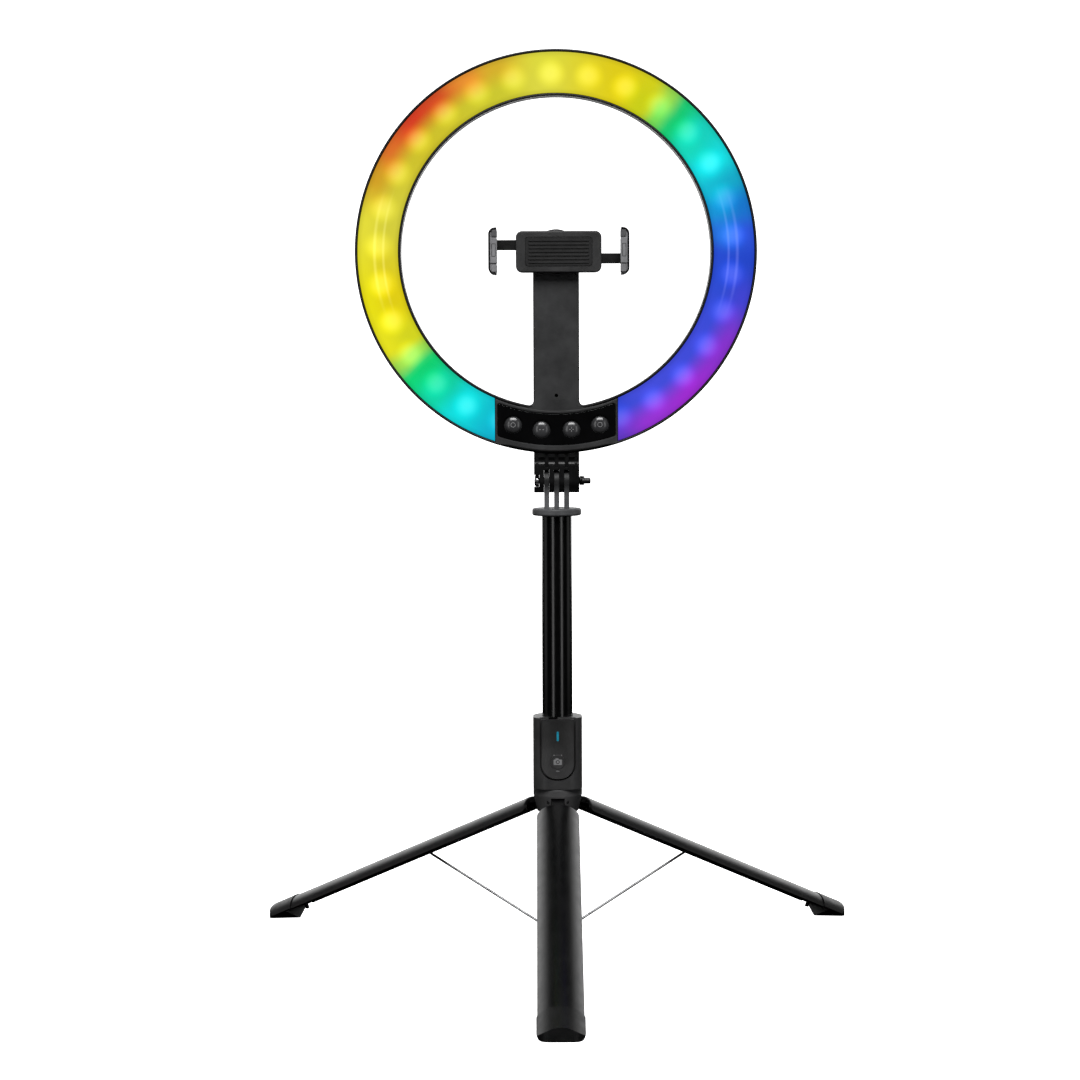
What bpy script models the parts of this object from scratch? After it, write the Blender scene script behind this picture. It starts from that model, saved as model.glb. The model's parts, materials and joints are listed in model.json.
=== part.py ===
"""Ring light on a folding three-legged stand, with a phone clamp and a shutter remote.

The mast stands on the Z axis of the "stand" empty, and the front leg points to -Y.
The legs fold like an umbrella: the dock and the leg hub slide up the mast while each
leg swings down, and a strut as long as the distance between its two leg pivots keeps
the leg in step with the hub at the mast's foot.
"""
import math

import bpy
import bmesh
from mathutils import Matrix

MM = 0.001
GAP = 0.3 * MM
WELD_DISTANCE = 0.005 * MM
CYLINDER_TWIST = 2.3      # keeps a round cutter's corners off its neighbours' corners

# Stand
STAND_RADIUS = 15.7 * MM
LEG_AZIMUTHS = (0.0, math.radians(120), math.radians(-120))
OPEN_ANGLE = math.radians(65.81)
PIVOT_RADIUS = 12.5 * MM
LEG_PIVOT_Z = 98.9 * MM
STRUT_LENGTH = 100.5 * MM
STRUT_HUB_PIVOT_Z = LEG_PIVOT_Z - 2 * STRUT_LENGTH * math.cos(OPEN_ANGLE)
TOE_REACH = 223.1 * MM

# Legs and feet, measured along the leg from its pivot
LEG_WALL = 1.7 * MM
LEG_HALF_ANGLE = math.radians(59.3)
LEG_START = 6.5 * MM
LEG_END = 209.7 * MM
FOOT_RADIUS = 16.3 * MM
FOOT_HALF_WIDTH = FOOT_RADIUS * math.sin(LEG_HALF_ANGLE)
HEEL_START = 215.0 * MM
PEG_START = 204.9 * MM
PEG_WIDTH = 1.7 * MM
PEG_REACH = 10.5 * MM
SOLE_LIFT = 4.7 * MM          # how far the foot's underside stands off the leg behind the heel
KNUCKLE_RADIUS = 2.2 * MM
KNUCKLE_WIDTH = 8.0 * MM
KNUCKLE_ROOT = (7.0 * MM, 14.0 * MM)
PIN_RADIUS = 1.0 * MM
STRUT_RADIUS = 0.9 * MM
EYE_RADIUS = 1.3 * MM
STRUT_PIN_RADIUS = 0.5 * MM
LUG_SLOT = 2.4 * MM
LUG_WIDTH = 5.6 * MM
LUG_MARGIN = 0.4 * MM
LEG_PIN_HALF = 6.5 * MM
STRUT_PIN_HALF = 3.2 * MM

# Mast: each section slides inside the one before it
TUBE_RADII = [(9.7 - 1.2 * step) * MM for step in range(5)]
TUBE_WALL = 0.9 * MM
TUBE_TOP = 281.3 * MM
MAST_FOOT = 14.2 * MM
BUSH_HEIGHT = 5.0 * MM
BUSH_WALL = 2.0 * MM
CUP_HEIGHT = 6.0 * MM
CUP_WALL = 0.8 * MM
CUP_FLOOR = 0.7 * MM
FORK_HALF_HEIGHT = 2.2 * MM
FORK_END = 0.9 * MM

# Dock and leg hub
BORE_RADIUS = TUBE_RADII[0] + GAP
HUB_BOTTOM = 91.6 * MM
HUB_TAPER_TOP = 102.6 * MM
HUB_TOP = 107.1 * MM
HUB_BOTTOM_RADIUS = 13.2 * MM
DOCK_TOP = 151.9 * MM
DOCK_CORNER = 9.7 * MM
DOCK_BUSH_HEIGHT = 4.6 * MM

# Remote
REMOTE_HALF_WIDTH = 11.5 * MM
REMOTE_BOTTOM = 114.3 * MM
REMOTE_TOP = 152.1 * MM
REMOTE_CORNER = 8.3 * MM
REMOTE_BACK = -10.3 * MM
REMOTE_SPLIT = -12.4 * MM
REMOTE_FRONT = -15.9 * MM
REMOTE_FRONT_RADIUS = 30.0 * MM
REMOTE_WALL = 1.0 * MM
REMOTE_BUTTON_Z = 125.2 * MM
REMOTE_BUTTON_RADIUS = 4.6 * MM
REMOTE_BUTTON_BACK = 14.5 * MM
REMOTE_BUTTON_FRONT = 16.0 * MM
REMOTE_BOARD_SIZE = (7.5 * MM, 15.0 * MM)
REMOTE_BOARD_Z = 133.0 * MM
BATTERY_RADIUS = 6.0 * MM
BATTERY_Z = 138.0 * MM

# Head and tilt joint
FLANGE_BOTTOM = 281.7 * MM
FLANGE_TOP = 287.05 * MM
FLANGE_EDGE = 1.8 * MM
SPIGOT_LENGTH = 14.0 * MM
TILT_Z = 303.75 * MM
FIN_PITCH = 6.35 * MM
FIN_THICKNESS = 3.0 * MM
FIN_RADIUS = 7.0 * MM
NECK_HALF_WIDTH = 14.4 * MM
NECK_ROUND = 6.65 * MM
NECK_STEP = 8.7 * MM
NECK_TOP = 341.0 * MM
NECK_BACK = 10.5 * MM
NUT_NOTCH = (11.0 * MM, 3.9 * MM)
SCREW_RADIUS = 2.0 * MM
SCREW_HEAD_RADIUS = 4.2 * MM
WING_HALF = (1.75 * MM, 8.0 * MM)
WING_SPAN = (16.0 * MM, 21.6 * MM)
NUT_RADIUS = 3.5 * MM

# Ring, measured from its centre; "front" is the distance towards -Y
RING_Z = 448.3 * MM
RING_RADIUS = 127.0 * MM
HOLE_RADIUS = 98.0 * MM
RIM_WALL = 1.5 * MM
RING_FRONT = 8.0 * MM
RING_BACK = -8.0 * MM
PART_LINE = 0.15 * MM
TRAY_FLOOR = 1.6 * MM
FRONT_EDGE = 0.6 * MM
REAR_EDGE = 2.2 * MM
DIFFUSER_INNER = 99.8 * MM
DIFFUSER_OUTER = 125.2 * MM
DIFFUSER_CUT = 39.1 * MM
DIFFUSER_SPAN = (6.2 * MM, 7.7 * MM)
SPREADER_SPAN = (4.8 * MM, 5.6 * MM)
LED_BOARD_SPAN = (1.9 * MM, 3.1 * MM)
PANEL_HALF_WIDTH = 37.3 * MM
PANEL_INNER = 102.3 * MM
PANEL_OUTER = 121.5 * MM
PANEL_SPAN = (6.7 * MM, 7.7 * MM)
PANEL_LEDGE = 0.9 * MM
SEAT_FLOOR = 6.4 * MM
BAY_ROOF = 5.6 * MM
CONTROL_BOARD_SPAN = (2.1 * MM, 3.3 * MM)
BUTTON_RADIUS = 5.35 * MM
BUTTON_RING = 112.2 * MM
BUTTON_ANGLES = [math.radians(angle) for angle in (-14.2, -4.85, 4.85, 14.2)]
LED_COUNT = 25
LED_RING = 112.0 * MM
LED_SPAN = math.radians(296)
LED_HALF = 1.6 * MM
LED_TOP = 3.9 * MM
RING_STEPS = 48
INLET_PLACE = (24.0 * MM, -108.0 * MM, 0)
INLET_HALF = (4.5 * MM, 1.6 * MM)
INLET_DEPTH = -2.0 * MM
NECK_SCREWS = [(side * 8 * MM, 333 * MM - RING_Z) for side in (-1, 1)]
NECK_SCREW_RADIUS = 1.5 * MM

# Stem and phone clamp
STEM_HALF_WIDTH = 14.6 * MM
STEM_FRONT = 7.6 * MM
STEM_BACK = -3.5 * MM
STEM_HOLE_Y = -90.3 * MM
STEM_HOLE_RADIUS = 1.2 * MM
SWIVEL_RADIUS = 4.0 * MM
SWIVEL_HEAD_RADIUS = 6.5 * MM
SWIVEL_FLANGE_RADIUS = 8.0 * MM
CLAMP_HALF_WIDTH = 27.0 * MM
CLAMP_HALF_HEIGHT = 13.0 * MM
CLAMP_CORNER = 4.0 * MM
CLAMP_BACK = 8.0 * MM
CLAMP_SPLIT = 9.35 * MM
CLAMP_FRONT = 16.0 * MM
CLAMP_WALL = 1.5 * MM
ARM_SPAN = (11.4 * MM, 13.4 * MM)
ARM_HEIGHTS = (1.0 * MM, 7.5 * MM)
JAW_OUTER = 44.1 * MM
JAW_INNER = 38.9 * MM
JAW_HALF_HEIGHT = 14.7 * MM
JAW_BACK = 9.9 * MM
JAW_FRONT = 27.3 * MM
JAW_CORNER = 4.0 * MM
JAW_WALL = 2.4 * MM
PAD_POCKET_BACK = 16.0 * MM
PAD_FRONT = 27.0 * MM
PAD_PROUD = 0.3 * MM
SPRING_PLACE = (0, 9.6 * MM, 12.4 * MM)
SPRING_LENGTH = 36.0 * MM
SPRING_RADIUS = 1.3 * MM
SPRING_WIRE = 0.3 * MM
SPRING_TURNS = 7

# The box of the whole part is centred on Y = 0, so the mast stands behind its middle.
REAR_REACH = TOE_REACH * 0.5 + FOOT_HALF_WIDTH * math.sin(math.radians(60))
MAST_Y = (TOE_REACH - REAR_REACH) / 2

FINISHES = {
    "satin_black": ((0.020, 0.020, 0.022), 0.42, 0.0),
    "gloss_black": ((0.010, 0.010, 0.011), 0.15, 0.0),
    "black_tube": ((0.015, 0.015, 0.016), 0.20, 0.6),
    "dark_grey": ((0.045, 0.045, 0.050), 0.45, 0.0),
    "rubber": ((0.015, 0.015, 0.015), 0.70, 0.0),
    "grey_rubber": ((0.180, 0.180, 0.190), 0.65, 0.0),
    "steel": ((0.550, 0.550, 0.560), 0.30, 1.0),
    "chrome": ((0.800, 0.800, 0.810), 0.10, 1.0),
    "diffuser": ((0.850, 0.850, 0.830), 0.50, 0.0),
    "board": ((0.020, 0.110, 0.050), 0.50, 0.0),
    "bush": ((0.600, 0.600, 0.580), 0.55, 0.0),
}


# ---------------------------------------------------------------- helpers

def clear_scene():
    for scene_object in list(bpy.data.objects):
        bpy.data.objects.remove(scene_object, do_unlink=True)


def new_collection(name):
    collection = bpy.data.collections.new(name)
    bpy.context.scene.collection.children.link(collection)
    return collection


clear_scene()
PARTS = new_collection("ring_light")
CUTTERS = new_collection("cutters")


def add_empty(name, location=(0, 0, 0), rotation=(0, 0, 0), parent=None):
    empty = bpy.data.objects.new(name, None)
    empty.location = location
    empty.rotation_euler = rotation
    empty.parent = parent
    PARTS.objects.link(empty)
    return empty


STAND = add_empty("stand", (0, MAST_Y, 0))
RING_FRAME = add_empty("ring_centre", (0, 0, RING_Z), (math.pi / 2, 0, 0), STAND)


def shape(name, mesh, parent=None, location=(0, 0, 0), rotation=(0, 0, 0)):
    """A working object; finish() makes it a part, and a Boolean makes it a cutter."""
    piece = bpy.data.objects.new(name, mesh)
    piece.parent = parent
    piece.location = location
    piece.rotation_euler = rotation
    CUTTERS.objects.link(piece)
    piece.hide_render = True
    piece.display_type = "WIRE"
    return piece


def finish(piece, finish_name):
    """Make a working object one of the part's named pieces, with its own material."""
    colour, roughness, metallic = FINISHES[finish_name]
    material = bpy.data.materials.new(piece.name + "_" + finish_name)
    material.use_nodes = True
    shader = material.node_tree.nodes["Principled BSDF"]
    shader.inputs["Base Color"].default_value = (*colour, 1.0)
    shader.inputs["Roughness"].default_value = roughness
    shader.inputs["Metallic"].default_value = metallic
    piece.data.materials.clear()
    piece.data.materials.append(material)
    piece.data.shade_smooth()
    piece.data.set_sharp_from_angle(angle=math.radians(35))
    if any(modifier.type == "BOOLEAN" for modifier in piece.modifiers):
        piece.modifiers.new("Seams", "WELD").merge_threshold = WELD_DISTANCE
    CUTTERS.objects.unlink(piece)
    PARTS.objects.link(piece)
    piece.hide_render = False
    piece.display_type = "TEXTURED"
    return piece


def solid(name, build, **placing):
    """A closed mesh that the bmesh function build makes."""
    mesh = bpy.data.meshes.new(name)
    work = bmesh.new()
    build(work)
    bmesh.ops.recalc_face_normals(work, faces=work.faces)
    work.to_mesh(mesh)
    work.free()
    return shape(name, mesh, **placing)


def box(name, low, high, **placing):
    def build(work):
        corners = bmesh.ops.create_cube(work, size=1.0)["verts"]
        size = [top - bottom for bottom, top in zip(low, high)]
        middle = [(top + bottom) / 2 for bottom, top in zip(low, high)]
        bmesh.ops.scale(work, vec=size, verts=corners)
        bmesh.ops.translate(work, vec=middle, verts=corners)
    return solid(name, build, **placing)


def cylinder(name, radius, low, high, steps=24, **placing):
    """A round bar along its local Z."""
    def build(work):
        ends = bmesh.ops.create_cone(work, cap_ends=True, segments=steps, radius1=radius,
                                     radius2=radius, depth=high - low)["verts"]
        off_axis = Matrix.Rotation(CYLINDER_TWIST / steps, 3, "Z")
        bmesh.ops.rotate(work, matrix=off_axis, verts=ends)
        bmesh.ops.translate(work, vec=(0, 0, (high + low) / 2), verts=ends)
    return solid(name, build, **placing)


def turned(name, profile, steps, hollow=False, **placing):
    """A profile of (radius, height) points, turned about local Z."""
    mesh = bpy.data.meshes.new(name)
    count = len(profile)
    edges = [(index, index + 1) for index in range(count - 1)]
    if hollow:
        edges.append((count - 1, 0))
    mesh.from_pydata([(radius, 0, height) for radius, height in profile], edges, [])
    piece = shape(name, mesh, **placing)
    screw = piece.modifiers.new("Turn", "SCREW")
    screw.steps = steps
    screw.render_steps = steps
    screw.use_merge_vertices = True
    screw.merge_threshold = 0.00001
    return piece


def weld(mesh, lift=0.0):
    """Join the mesh's coincident points and turn its faces outwards."""
    work = bmesh.new()
    work.from_mesh(mesh)
    bmesh.ops.remove_doubles(work, verts=work.verts, dist=WELD_DISTANCE)
    bmesh.ops.translate(work, vec=(0, 0, lift), verts=work.verts)
    bmesh.ops.recalc_face_normals(work, faces=work.faces)
    work.to_mesh(mesh)
    work.free()


def mesh_of_curve(curve):
    """The closed mesh of a curve that has its caps filled."""
    guide = bpy.data.objects.new("guide", curve)
    CUTTERS.objects.link(guide)
    bpy.context.view_layer.update()
    mesh = bpy.data.meshes.new_from_object(guide.evaluated_get(bpy.context.evaluated_depsgraph_get()))
    bpy.data.objects.remove(guide, do_unlink=True)
    return mesh


def prism(name, outline, low, high, **placing):
    """A flat outline in local XY, extruded from low to high along local Z."""
    curve = bpy.data.curves.new(name, "CURVE")
    curve.dimensions = "2D"
    curve.fill_mode = "BOTH"
    curve.extrude = (high - low) / 2
    spline = curve.splines.new("POLY")
    spline.points.add(len(outline) - 1)
    for point, (x, y) in zip(spline.points, outline):
        point.co = (x, y, 0, 1)
    spline.use_cyclic_u = True
    mesh = mesh_of_curve(curve)
    weld(mesh, lift=(high + low) / 2)
    return shape(name, mesh, **placing)


def combine(target, tool, operation):
    modifier = target.modifiers.new(tool.name, "BOOLEAN")
    modifier.operation = operation
    modifier.solver = "EXACT"
    modifier.object = tool
    return target


def cut(target, *tools):
    for tool in tools:
        combine(target, tool, "DIFFERENCE")
    return target


def join(target, *tools):
    for tool in tools:
        combine(target, tool, "UNION")
    return target


def baked(piece):
    """The piece with its modifiers made real, so that its mesh can be shared."""
    bpy.context.view_layer.update()
    mesh = bpy.data.meshes.new_from_object(piece.evaluated_get(bpy.context.evaluated_depsgraph_get()))
    for modifier in list(piece.modifiers):
        tool = getattr(modifier, "object", None)
        piece.modifiers.remove(modifier)
        if tool is not None:
            bpy.data.objects.remove(tool, do_unlink=True)
    weld(mesh)
    piece.data = mesh
    return piece


def arc(centre, radius, start, end, count):
    """Points on an arc, from the angle start to the angle end, both included."""
    step = (end - start) / (count - 1)
    angles = [start + step * index for index in range(count)]
    return [(centre[0] + radius * math.cos(a), centre[1] + radius * math.sin(a)) for a in angles]


def rounded_box(half_width, half_height, corner, steps=5):
    """The outline of a rectangle with round corners."""
    points = []
    for quarter in range(4):
        start = quarter * math.pi / 2
        side_x = 1 if quarter in (0, 3) else -1
        side_y = 1 if quarter in (0, 1) else -1
        centre = (side_x * (half_width - corner), side_y * (half_height - corner))
        points += arc(centre, corner, start, start + math.pi / 2, steps)
    return points


def band_below(inner, outer, half_width, steps=7):
    """The stretch of a ring within half_width of its lowest point, with upright ends."""
    down = -math.pi / 2
    wide = math.asin(half_width / inner)
    narrow = math.asin(half_width / outer)
    outer_arc = arc((0, 0), outer, down - narrow, down + narrow, steps)
    inner_arc = arc((0, 0), inner, down + wide, down - wide, steps)
    return outer_arc + inner_arc


def band_above(inner, outer, half_width, steps=RING_STEPS - 4):
    """The rest of that ring, round the top, with the same upright ends."""
    down = -math.pi / 2
    wide = math.asin(half_width / inner)
    narrow = math.asin(half_width / outer)
    outer_arc = arc((0, 0), outer, down + narrow, down + 2 * math.pi - narrow, steps)
    inner_arc = arc((0, 0), inner, down + 2 * math.pi - wide, down + wide, steps)
    return outer_arc + inner_arc


def ring_profile(outer, inner, low, high):
    return [(outer, high), (outer, low), (inner, low), (inner, high)]


def outward(azimuth, radius, height):
    """The point of the stand at a radius from the mast in a leg's direction."""
    return (radius * math.sin(azimuth), -radius * math.cos(azimuth), height)


# ---------------------------------------------------------------- legs

def make_leg_shell():
    """One leg as it hangs when folded, with its pivot at the origin and -Y outwards."""
    mast = (0, PIVOT_RADIUS)
    down = -math.pi / 2
    outer = arc(mast, STAND_RADIUS, down - LEG_HALF_ANGLE, down + LEG_HALF_ANGLE, 11)
    inner = arc(mast, STAND_RADIUS - LEG_WALL, down + LEG_HALF_ANGLE, down - LEG_HALF_ANGLE, 11)
    leg = prism("leg", outer + inner, -LEG_END, -LEG_START)
    wall_middle = STAND_RADIUS - LEG_WALL / 2 - PIVOT_RADIUS
    side_on = {"rotation": (math.pi / 2, 0, math.pi / 2)}
    knuckle_outline = arc((0, 0), KNUCKLE_RADIUS, 0, math.pi, 7)
    root_top, root_low = KNUCKLE_ROOT
    knuckle_outline += [(-wall_middle, -root_top), (-wall_middle, -root_low), (-0.5 * MM, -root_low)]
    join(leg, prism("knuckle", knuckle_outline, -KNUCKLE_WIDTH / 2, KNUCKLE_WIDTH / 2, **side_on))
    lug_radius = EYE_RADIUS + LUG_MARGIN
    lug_outline = arc((0, -STRUT_LENGTH), lug_radius, -math.pi / 2, math.pi / 2, 5)
    lug_outline += [(-wall_middle, -STRUT_LENGTH + lug_radius), (-wall_middle, -STRUT_LENGTH - lug_radius)]
    for side in (-1, 1):
        ends = sorted((side * LUG_SLOT / 2, side * LUG_WIDTH / 2))
        join(leg, prism("lug", lug_outline, ends[0], ends[1], **side_on))
    peg_low = (-PEG_WIDTH / 2, -wall_middle, -PEG_START - PEG_WIDTH)
    join(leg, box("peg", peg_low, (PEG_WIDTH / 2, PEG_REACH, -PEG_START)))
    across = {"rotation": (0, math.pi / 2, 0)}
    cut(leg, cylinder("hole", PIN_RADIUS + GAP, -6 * MM, 6 * MM, 10, **across))
    lug_hole = {"location": (0, 0, -STRUT_LENGTH), "rotation": (0, math.pi / 2, 0)}
    cut(leg, cylinder("lug_hole", STRUT_PIN_RADIUS + GAP, -4 * MM, 4 * MM, 8, **lug_hole))
    return baked(leg)


def make_foot():
    """The front foot, cut by the floor and by the upright face of its toe."""
    pivot = outward(0.0, PIVOT_RADIUS, LEG_PIVOT_Z)
    placed = {"location": pivot, "rotation": (-OPEN_ANGLE, 0, 0)}
    mast = (0, PIVOT_RADIUS)
    down = -math.pi / 2
    outline = arc(mast, FOOT_RADIUS, down - LEG_HALF_ANGLE, down + LEG_HALF_ANGLE, 13)
    outline += [(0.25 * MM, PIVOT_RADIUS - 0.6 * MM), (-0.25 * MM, PIVOT_RADIUS - 0.6 * MM)]
    foot = prism("foot", outline, -250 * MM, -LEG_END - GAP, **placed)
    heel_gap = ((-20 * MM, SOLE_LIFT, -HEEL_START), (20 * MM, 20 * MM, -LEG_END + 5 * MM))
    cut(foot, box("heel_gap", *heel_gap, **placed))
    cut(foot, box("floor", (-30 * MM, -400 * MM, -60 * MM), (30 * MM, -100 * MM, 0)))
    cut(foot, box("toe", (-30 * MM, -400 * MM, -80 * MM), (30 * MM, -TOE_REACH, 80 * MM)))
    return baked(foot)


def make_strut():
    """A strut hanging straight down from its leg pivot at the origin."""
    across = {"rotation": (0, math.pi / 2, 0)}
    low_end = {"location": (0, 0, -STRUT_LENGTH), "rotation": (0, math.pi / 2, 0)}
    half = STRUT_RADIUS
    strut = cylinder("strut", STRUT_RADIUS * 0.95, -STRUT_LENGTH + 0.5 * MM, -0.5 * MM, 8)
    join(strut, cylinder("eye_top", EYE_RADIUS, -half, half, 12, **across))
    join(strut, cylinder("eye_low", EYE_RADIUS, -half, half, 12, **low_end))
    cut(strut, cylinder("hole_top", STRUT_PIN_RADIUS + GAP, -2 * MM, 2 * MM, 8, **across))
    cut(strut, cylinder("hole_low", STRUT_PIN_RADIUS + GAP, -2 * MM, 2 * MM, 8, **low_end))
    return baked(strut)


def make_legs():
    shell = make_leg_shell()
    foot = make_foot()
    strut = make_strut()
    pin = cylinder("pin", PIN_RADIUS, -LEG_PIN_HALF, LEG_PIN_HALF, 10)
    strut_pin = cylinder("strut_pin", STRUT_PIN_RADIUS, -STRUT_PIN_HALF, STRUT_PIN_HALF, 8)
    knee_radius = PIVOT_RADIUS + STRUT_LENGTH * math.sin(OPEN_ANGLE)
    knee_z = LEG_PIVOT_Z - STRUT_LENGTH * math.cos(OPEN_ANGLE)
    for number, azimuth in enumerate(LEG_AZIMUTHS, start=1):
        hip = outward(azimuth, PIVOT_RADIUS, LEG_PIVOT_Z)
        knee = outward(azimuth, knee_radius, knee_z)
        opened = (-OPEN_ANGLE, 0, azimuth)
        across = (0, math.pi / 2, azimuth)
        pieces = (
            (f"leg_{number}", shell, hip, opened, "satin_black"),
            (f"foot_{number}", foot, hip, opened, "rubber"),
            (f"leg_pin_{number}", pin, hip, across, "steel"),
            (f"strut_{number}", strut, knee, (OPEN_ANGLE, 0, azimuth), "steel"),
            (f"strut_pin_{number}", strut_pin, knee, across, "steel"),
        )
        for name, source, location, rotation, look in pieces:
            mesh = source.data.copy()
            finish(shape(name, mesh, STAND, location, rotation), look)
    for source in (shell, foot, strut, pin, strut_pin):
        bpy.data.objects.remove(source, do_unlink=True)


# ---------------------------------------------------------------- mast

def make_mast():
    outer_tube = ring_profile(TUBE_RADII[0], TUBE_RADII[0] - TUBE_WALL, MAST_FOOT, TUBE_TOP)
    finish(turned("mast_tube_1", outer_tube, 36, hollow=True, parent=STAND), "black_tube")
    foot_z = MAST_FOOT + GAP
    for number, radius in enumerate(TUBE_RADII[1:], start=2):
        bush = ring_profile(radius, radius - BUSH_WALL, foot_z, foot_z + BUSH_HEIGHT)
        tube = ring_profile(radius, radius - TUBE_WALL, foot_z + BUSH_HEIGHT + GAP, TUBE_TOP)
        finish(turned(f"mast_bush_{number}", bush, 16, hollow=True, parent=STAND), "bush")
        finish(turned(f"mast_tube_{number}", tube, 20, hollow=True, parent=STAND), "steel")
        foot_z += BUSH_HEIGHT + 2 * GAP


def make_strut_hub():
    """A cup on the mast's foot, with a forked lug for the inner end of each strut."""
    floor_z = MAST_FOOT - GAP
    bottom = floor_z - CUP_FLOOR
    top = MAST_FOOT + CUP_HEIGHT
    wall = BORE_RADIUS + CUP_WALL
    cup = [
        (0, floor_z), (BORE_RADIUS, floor_z), (BORE_RADIUS, top), (wall, top), (wall, bottom), (0, bottom),
    ]
    hub = turned("strut_hub", cup, 30, parent=STAND)
    low = STRUT_HUB_PIVOT_Z - FORK_HALF_HEIGHT
    high = STRUT_HUB_PIVOT_Z + FORK_HALF_HEIGHT
    lug_low = (-LUG_WIDTH / 2, -PIVOT_RADIUS - FORK_END, low)
    lug_high = (LUG_WIDTH / 2, -BORE_RADIUS - CUP_WALL / 2, high)
    slot_low = (-LUG_SLOT / 2, -PIVOT_RADIUS - 5 * MM, low - 1 * MM)
    slot_high = (LUG_SLOT / 2, -wall, high + 1 * MM)
    for azimuth in LEG_AZIMUTHS:
        join(hub, box("lug", lug_low, lug_high, parent=STAND, rotation=(0, 0, azimuth)))
    for azimuth in LEG_AZIMUTHS:
        cut(hub, box("slot", slot_low, slot_high, parent=STAND, rotation=(0, 0, azimuth)))
    finish(hub, "satin_black")


def make_mast_head():
    spigot_radius = TUBE_RADII[-1] - TUBE_WALL - GAP
    edge = FLANGE_EDGE
    spigot_end = FLANGE_BOTTOM - SPIGOT_LENGTH
    profile = [
        (0, FLANGE_TOP), (STAND_RADIUS - edge, FLANGE_TOP), (STAND_RADIUS, FLANGE_TOP - edge),
        (STAND_RADIUS, FLANGE_BOTTOM + edge), (STAND_RADIUS - edge, FLANGE_BOTTOM),
        (spigot_radius, FLANGE_BOTTOM), (spigot_radius, spigot_end), (0, spigot_end),
    ]
    head = turned("mast_head", profile, 32, parent=STAND)
    outline = arc((0, TILT_Z), FIN_RADIUS, 0, math.pi, 9)
    outline += [(-FIN_RADIUS, FLANGE_TOP - 1 * MM), (FIN_RADIUS, FLANGE_TOP - 1 * MM)]
    side_on = (math.pi / 2, 0, math.pi / 2)
    for place in (-1, 0, 1):
        middle = place * FIN_PITCH
        ends = (middle - FIN_THICKNESS / 2, middle + FIN_THICKNESS / 2)
        join(head, prism("fin", outline, *ends, parent=STAND, rotation=side_on))
    bolt_hole = {"parent": STAND, "location": (0, 0, TILT_Z), "rotation": (0, math.pi / 2, 0)}
    cut(head, cylinder("bolt_hole", SCREW_RADIUS + GAP, -20 * MM, 20 * MM, 12, **bolt_hole))
    finish(head, "satin_black")


# ---------------------------------------------------------------- hub, dock and remote

def make_leg_hub():
    profile = [
        (STAND_RADIUS, HUB_TOP), (STAND_RADIUS, HUB_TAPER_TOP), (HUB_BOTTOM_RADIUS, HUB_BOTTOM),
        (BORE_RADIUS, HUB_BOTTOM), (BORE_RADIUS, HUB_TOP),
    ]
    hub = turned("leg_hub", profile, 36, hollow=True, parent=STAND)
    half = KNUCKLE_WIDTH / 2 + GAP
    low = (-half, -30 * MM, HUB_BOTTOM - 5 * MM)
    high = (half, -BORE_RADIUS * 0.8, LEG_PIVOT_Z + KNUCKLE_RADIUS + 0.4 * MM)
    for azimuth in LEG_AZIMUTHS:
        cut(hub, box("knuckle_bay", low, high, parent=STAND, rotation=(0, 0, azimuth)))
    for azimuth in LEG_AZIMUTHS:
        hip = outward(azimuth, PIVOT_RADIUS, LEG_PIVOT_Z)
        bore = {"parent": STAND, "location": hip, "rotation": (0, math.pi / 2, azimuth)}
        cut(hub, cylinder("pin_bore", PIN_RADIUS + GAP, -7 * MM, 7 * MM, 10, **bore))
    finish(hub, "satin_black")


def remote_outline(inset):
    """The remote's front view: a square top and a round bottom."""
    half = REMOTE_HALF_WIDTH - inset
    corner = REMOTE_CORNER - inset
    low = REMOTE_BOTTOM + inset
    right = arc((half - corner, low + corner), corner, -math.pi / 2, 0, 7)
    left = arc((-half + corner, low + corner), corner, math.pi, 1.5 * math.pi, 7)
    top = REMOTE_TOP - inset
    return right + [(half, top), (-half, top)] + left


def front_view(name, outline, back, front):
    """An outline in world XZ, extruded along Y between back and front, with front lowest."""
    return prism(name, outline, -back, -front, parent=STAND, rotation=(math.pi / 2, 0, 0))


def remote_block(name, inset, back):
    """The remote's bulk from a back plane to its gently curved front."""
    block = front_view(name, remote_outline(inset), back, REMOTE_FRONT - 2 * MM)
    front = REMOTE_FRONT + inset
    radius = REMOTE_FRONT_RADIUS
    swing = math.asin((REMOTE_HALF_WIDTH + 2 * MM) / radius)
    curve = arc((0, front + radius), radius, -math.pi / 2 - swing, -math.pi / 2 + swing, 9)
    section = curve + [(curve[-1][0], -5 * MM), (curve[0][0], -5 * MM)]
    combine(block, prism("section", section, 100 * MM, 160 * MM, parent=STAND), "INTERSECT")
    return block


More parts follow.
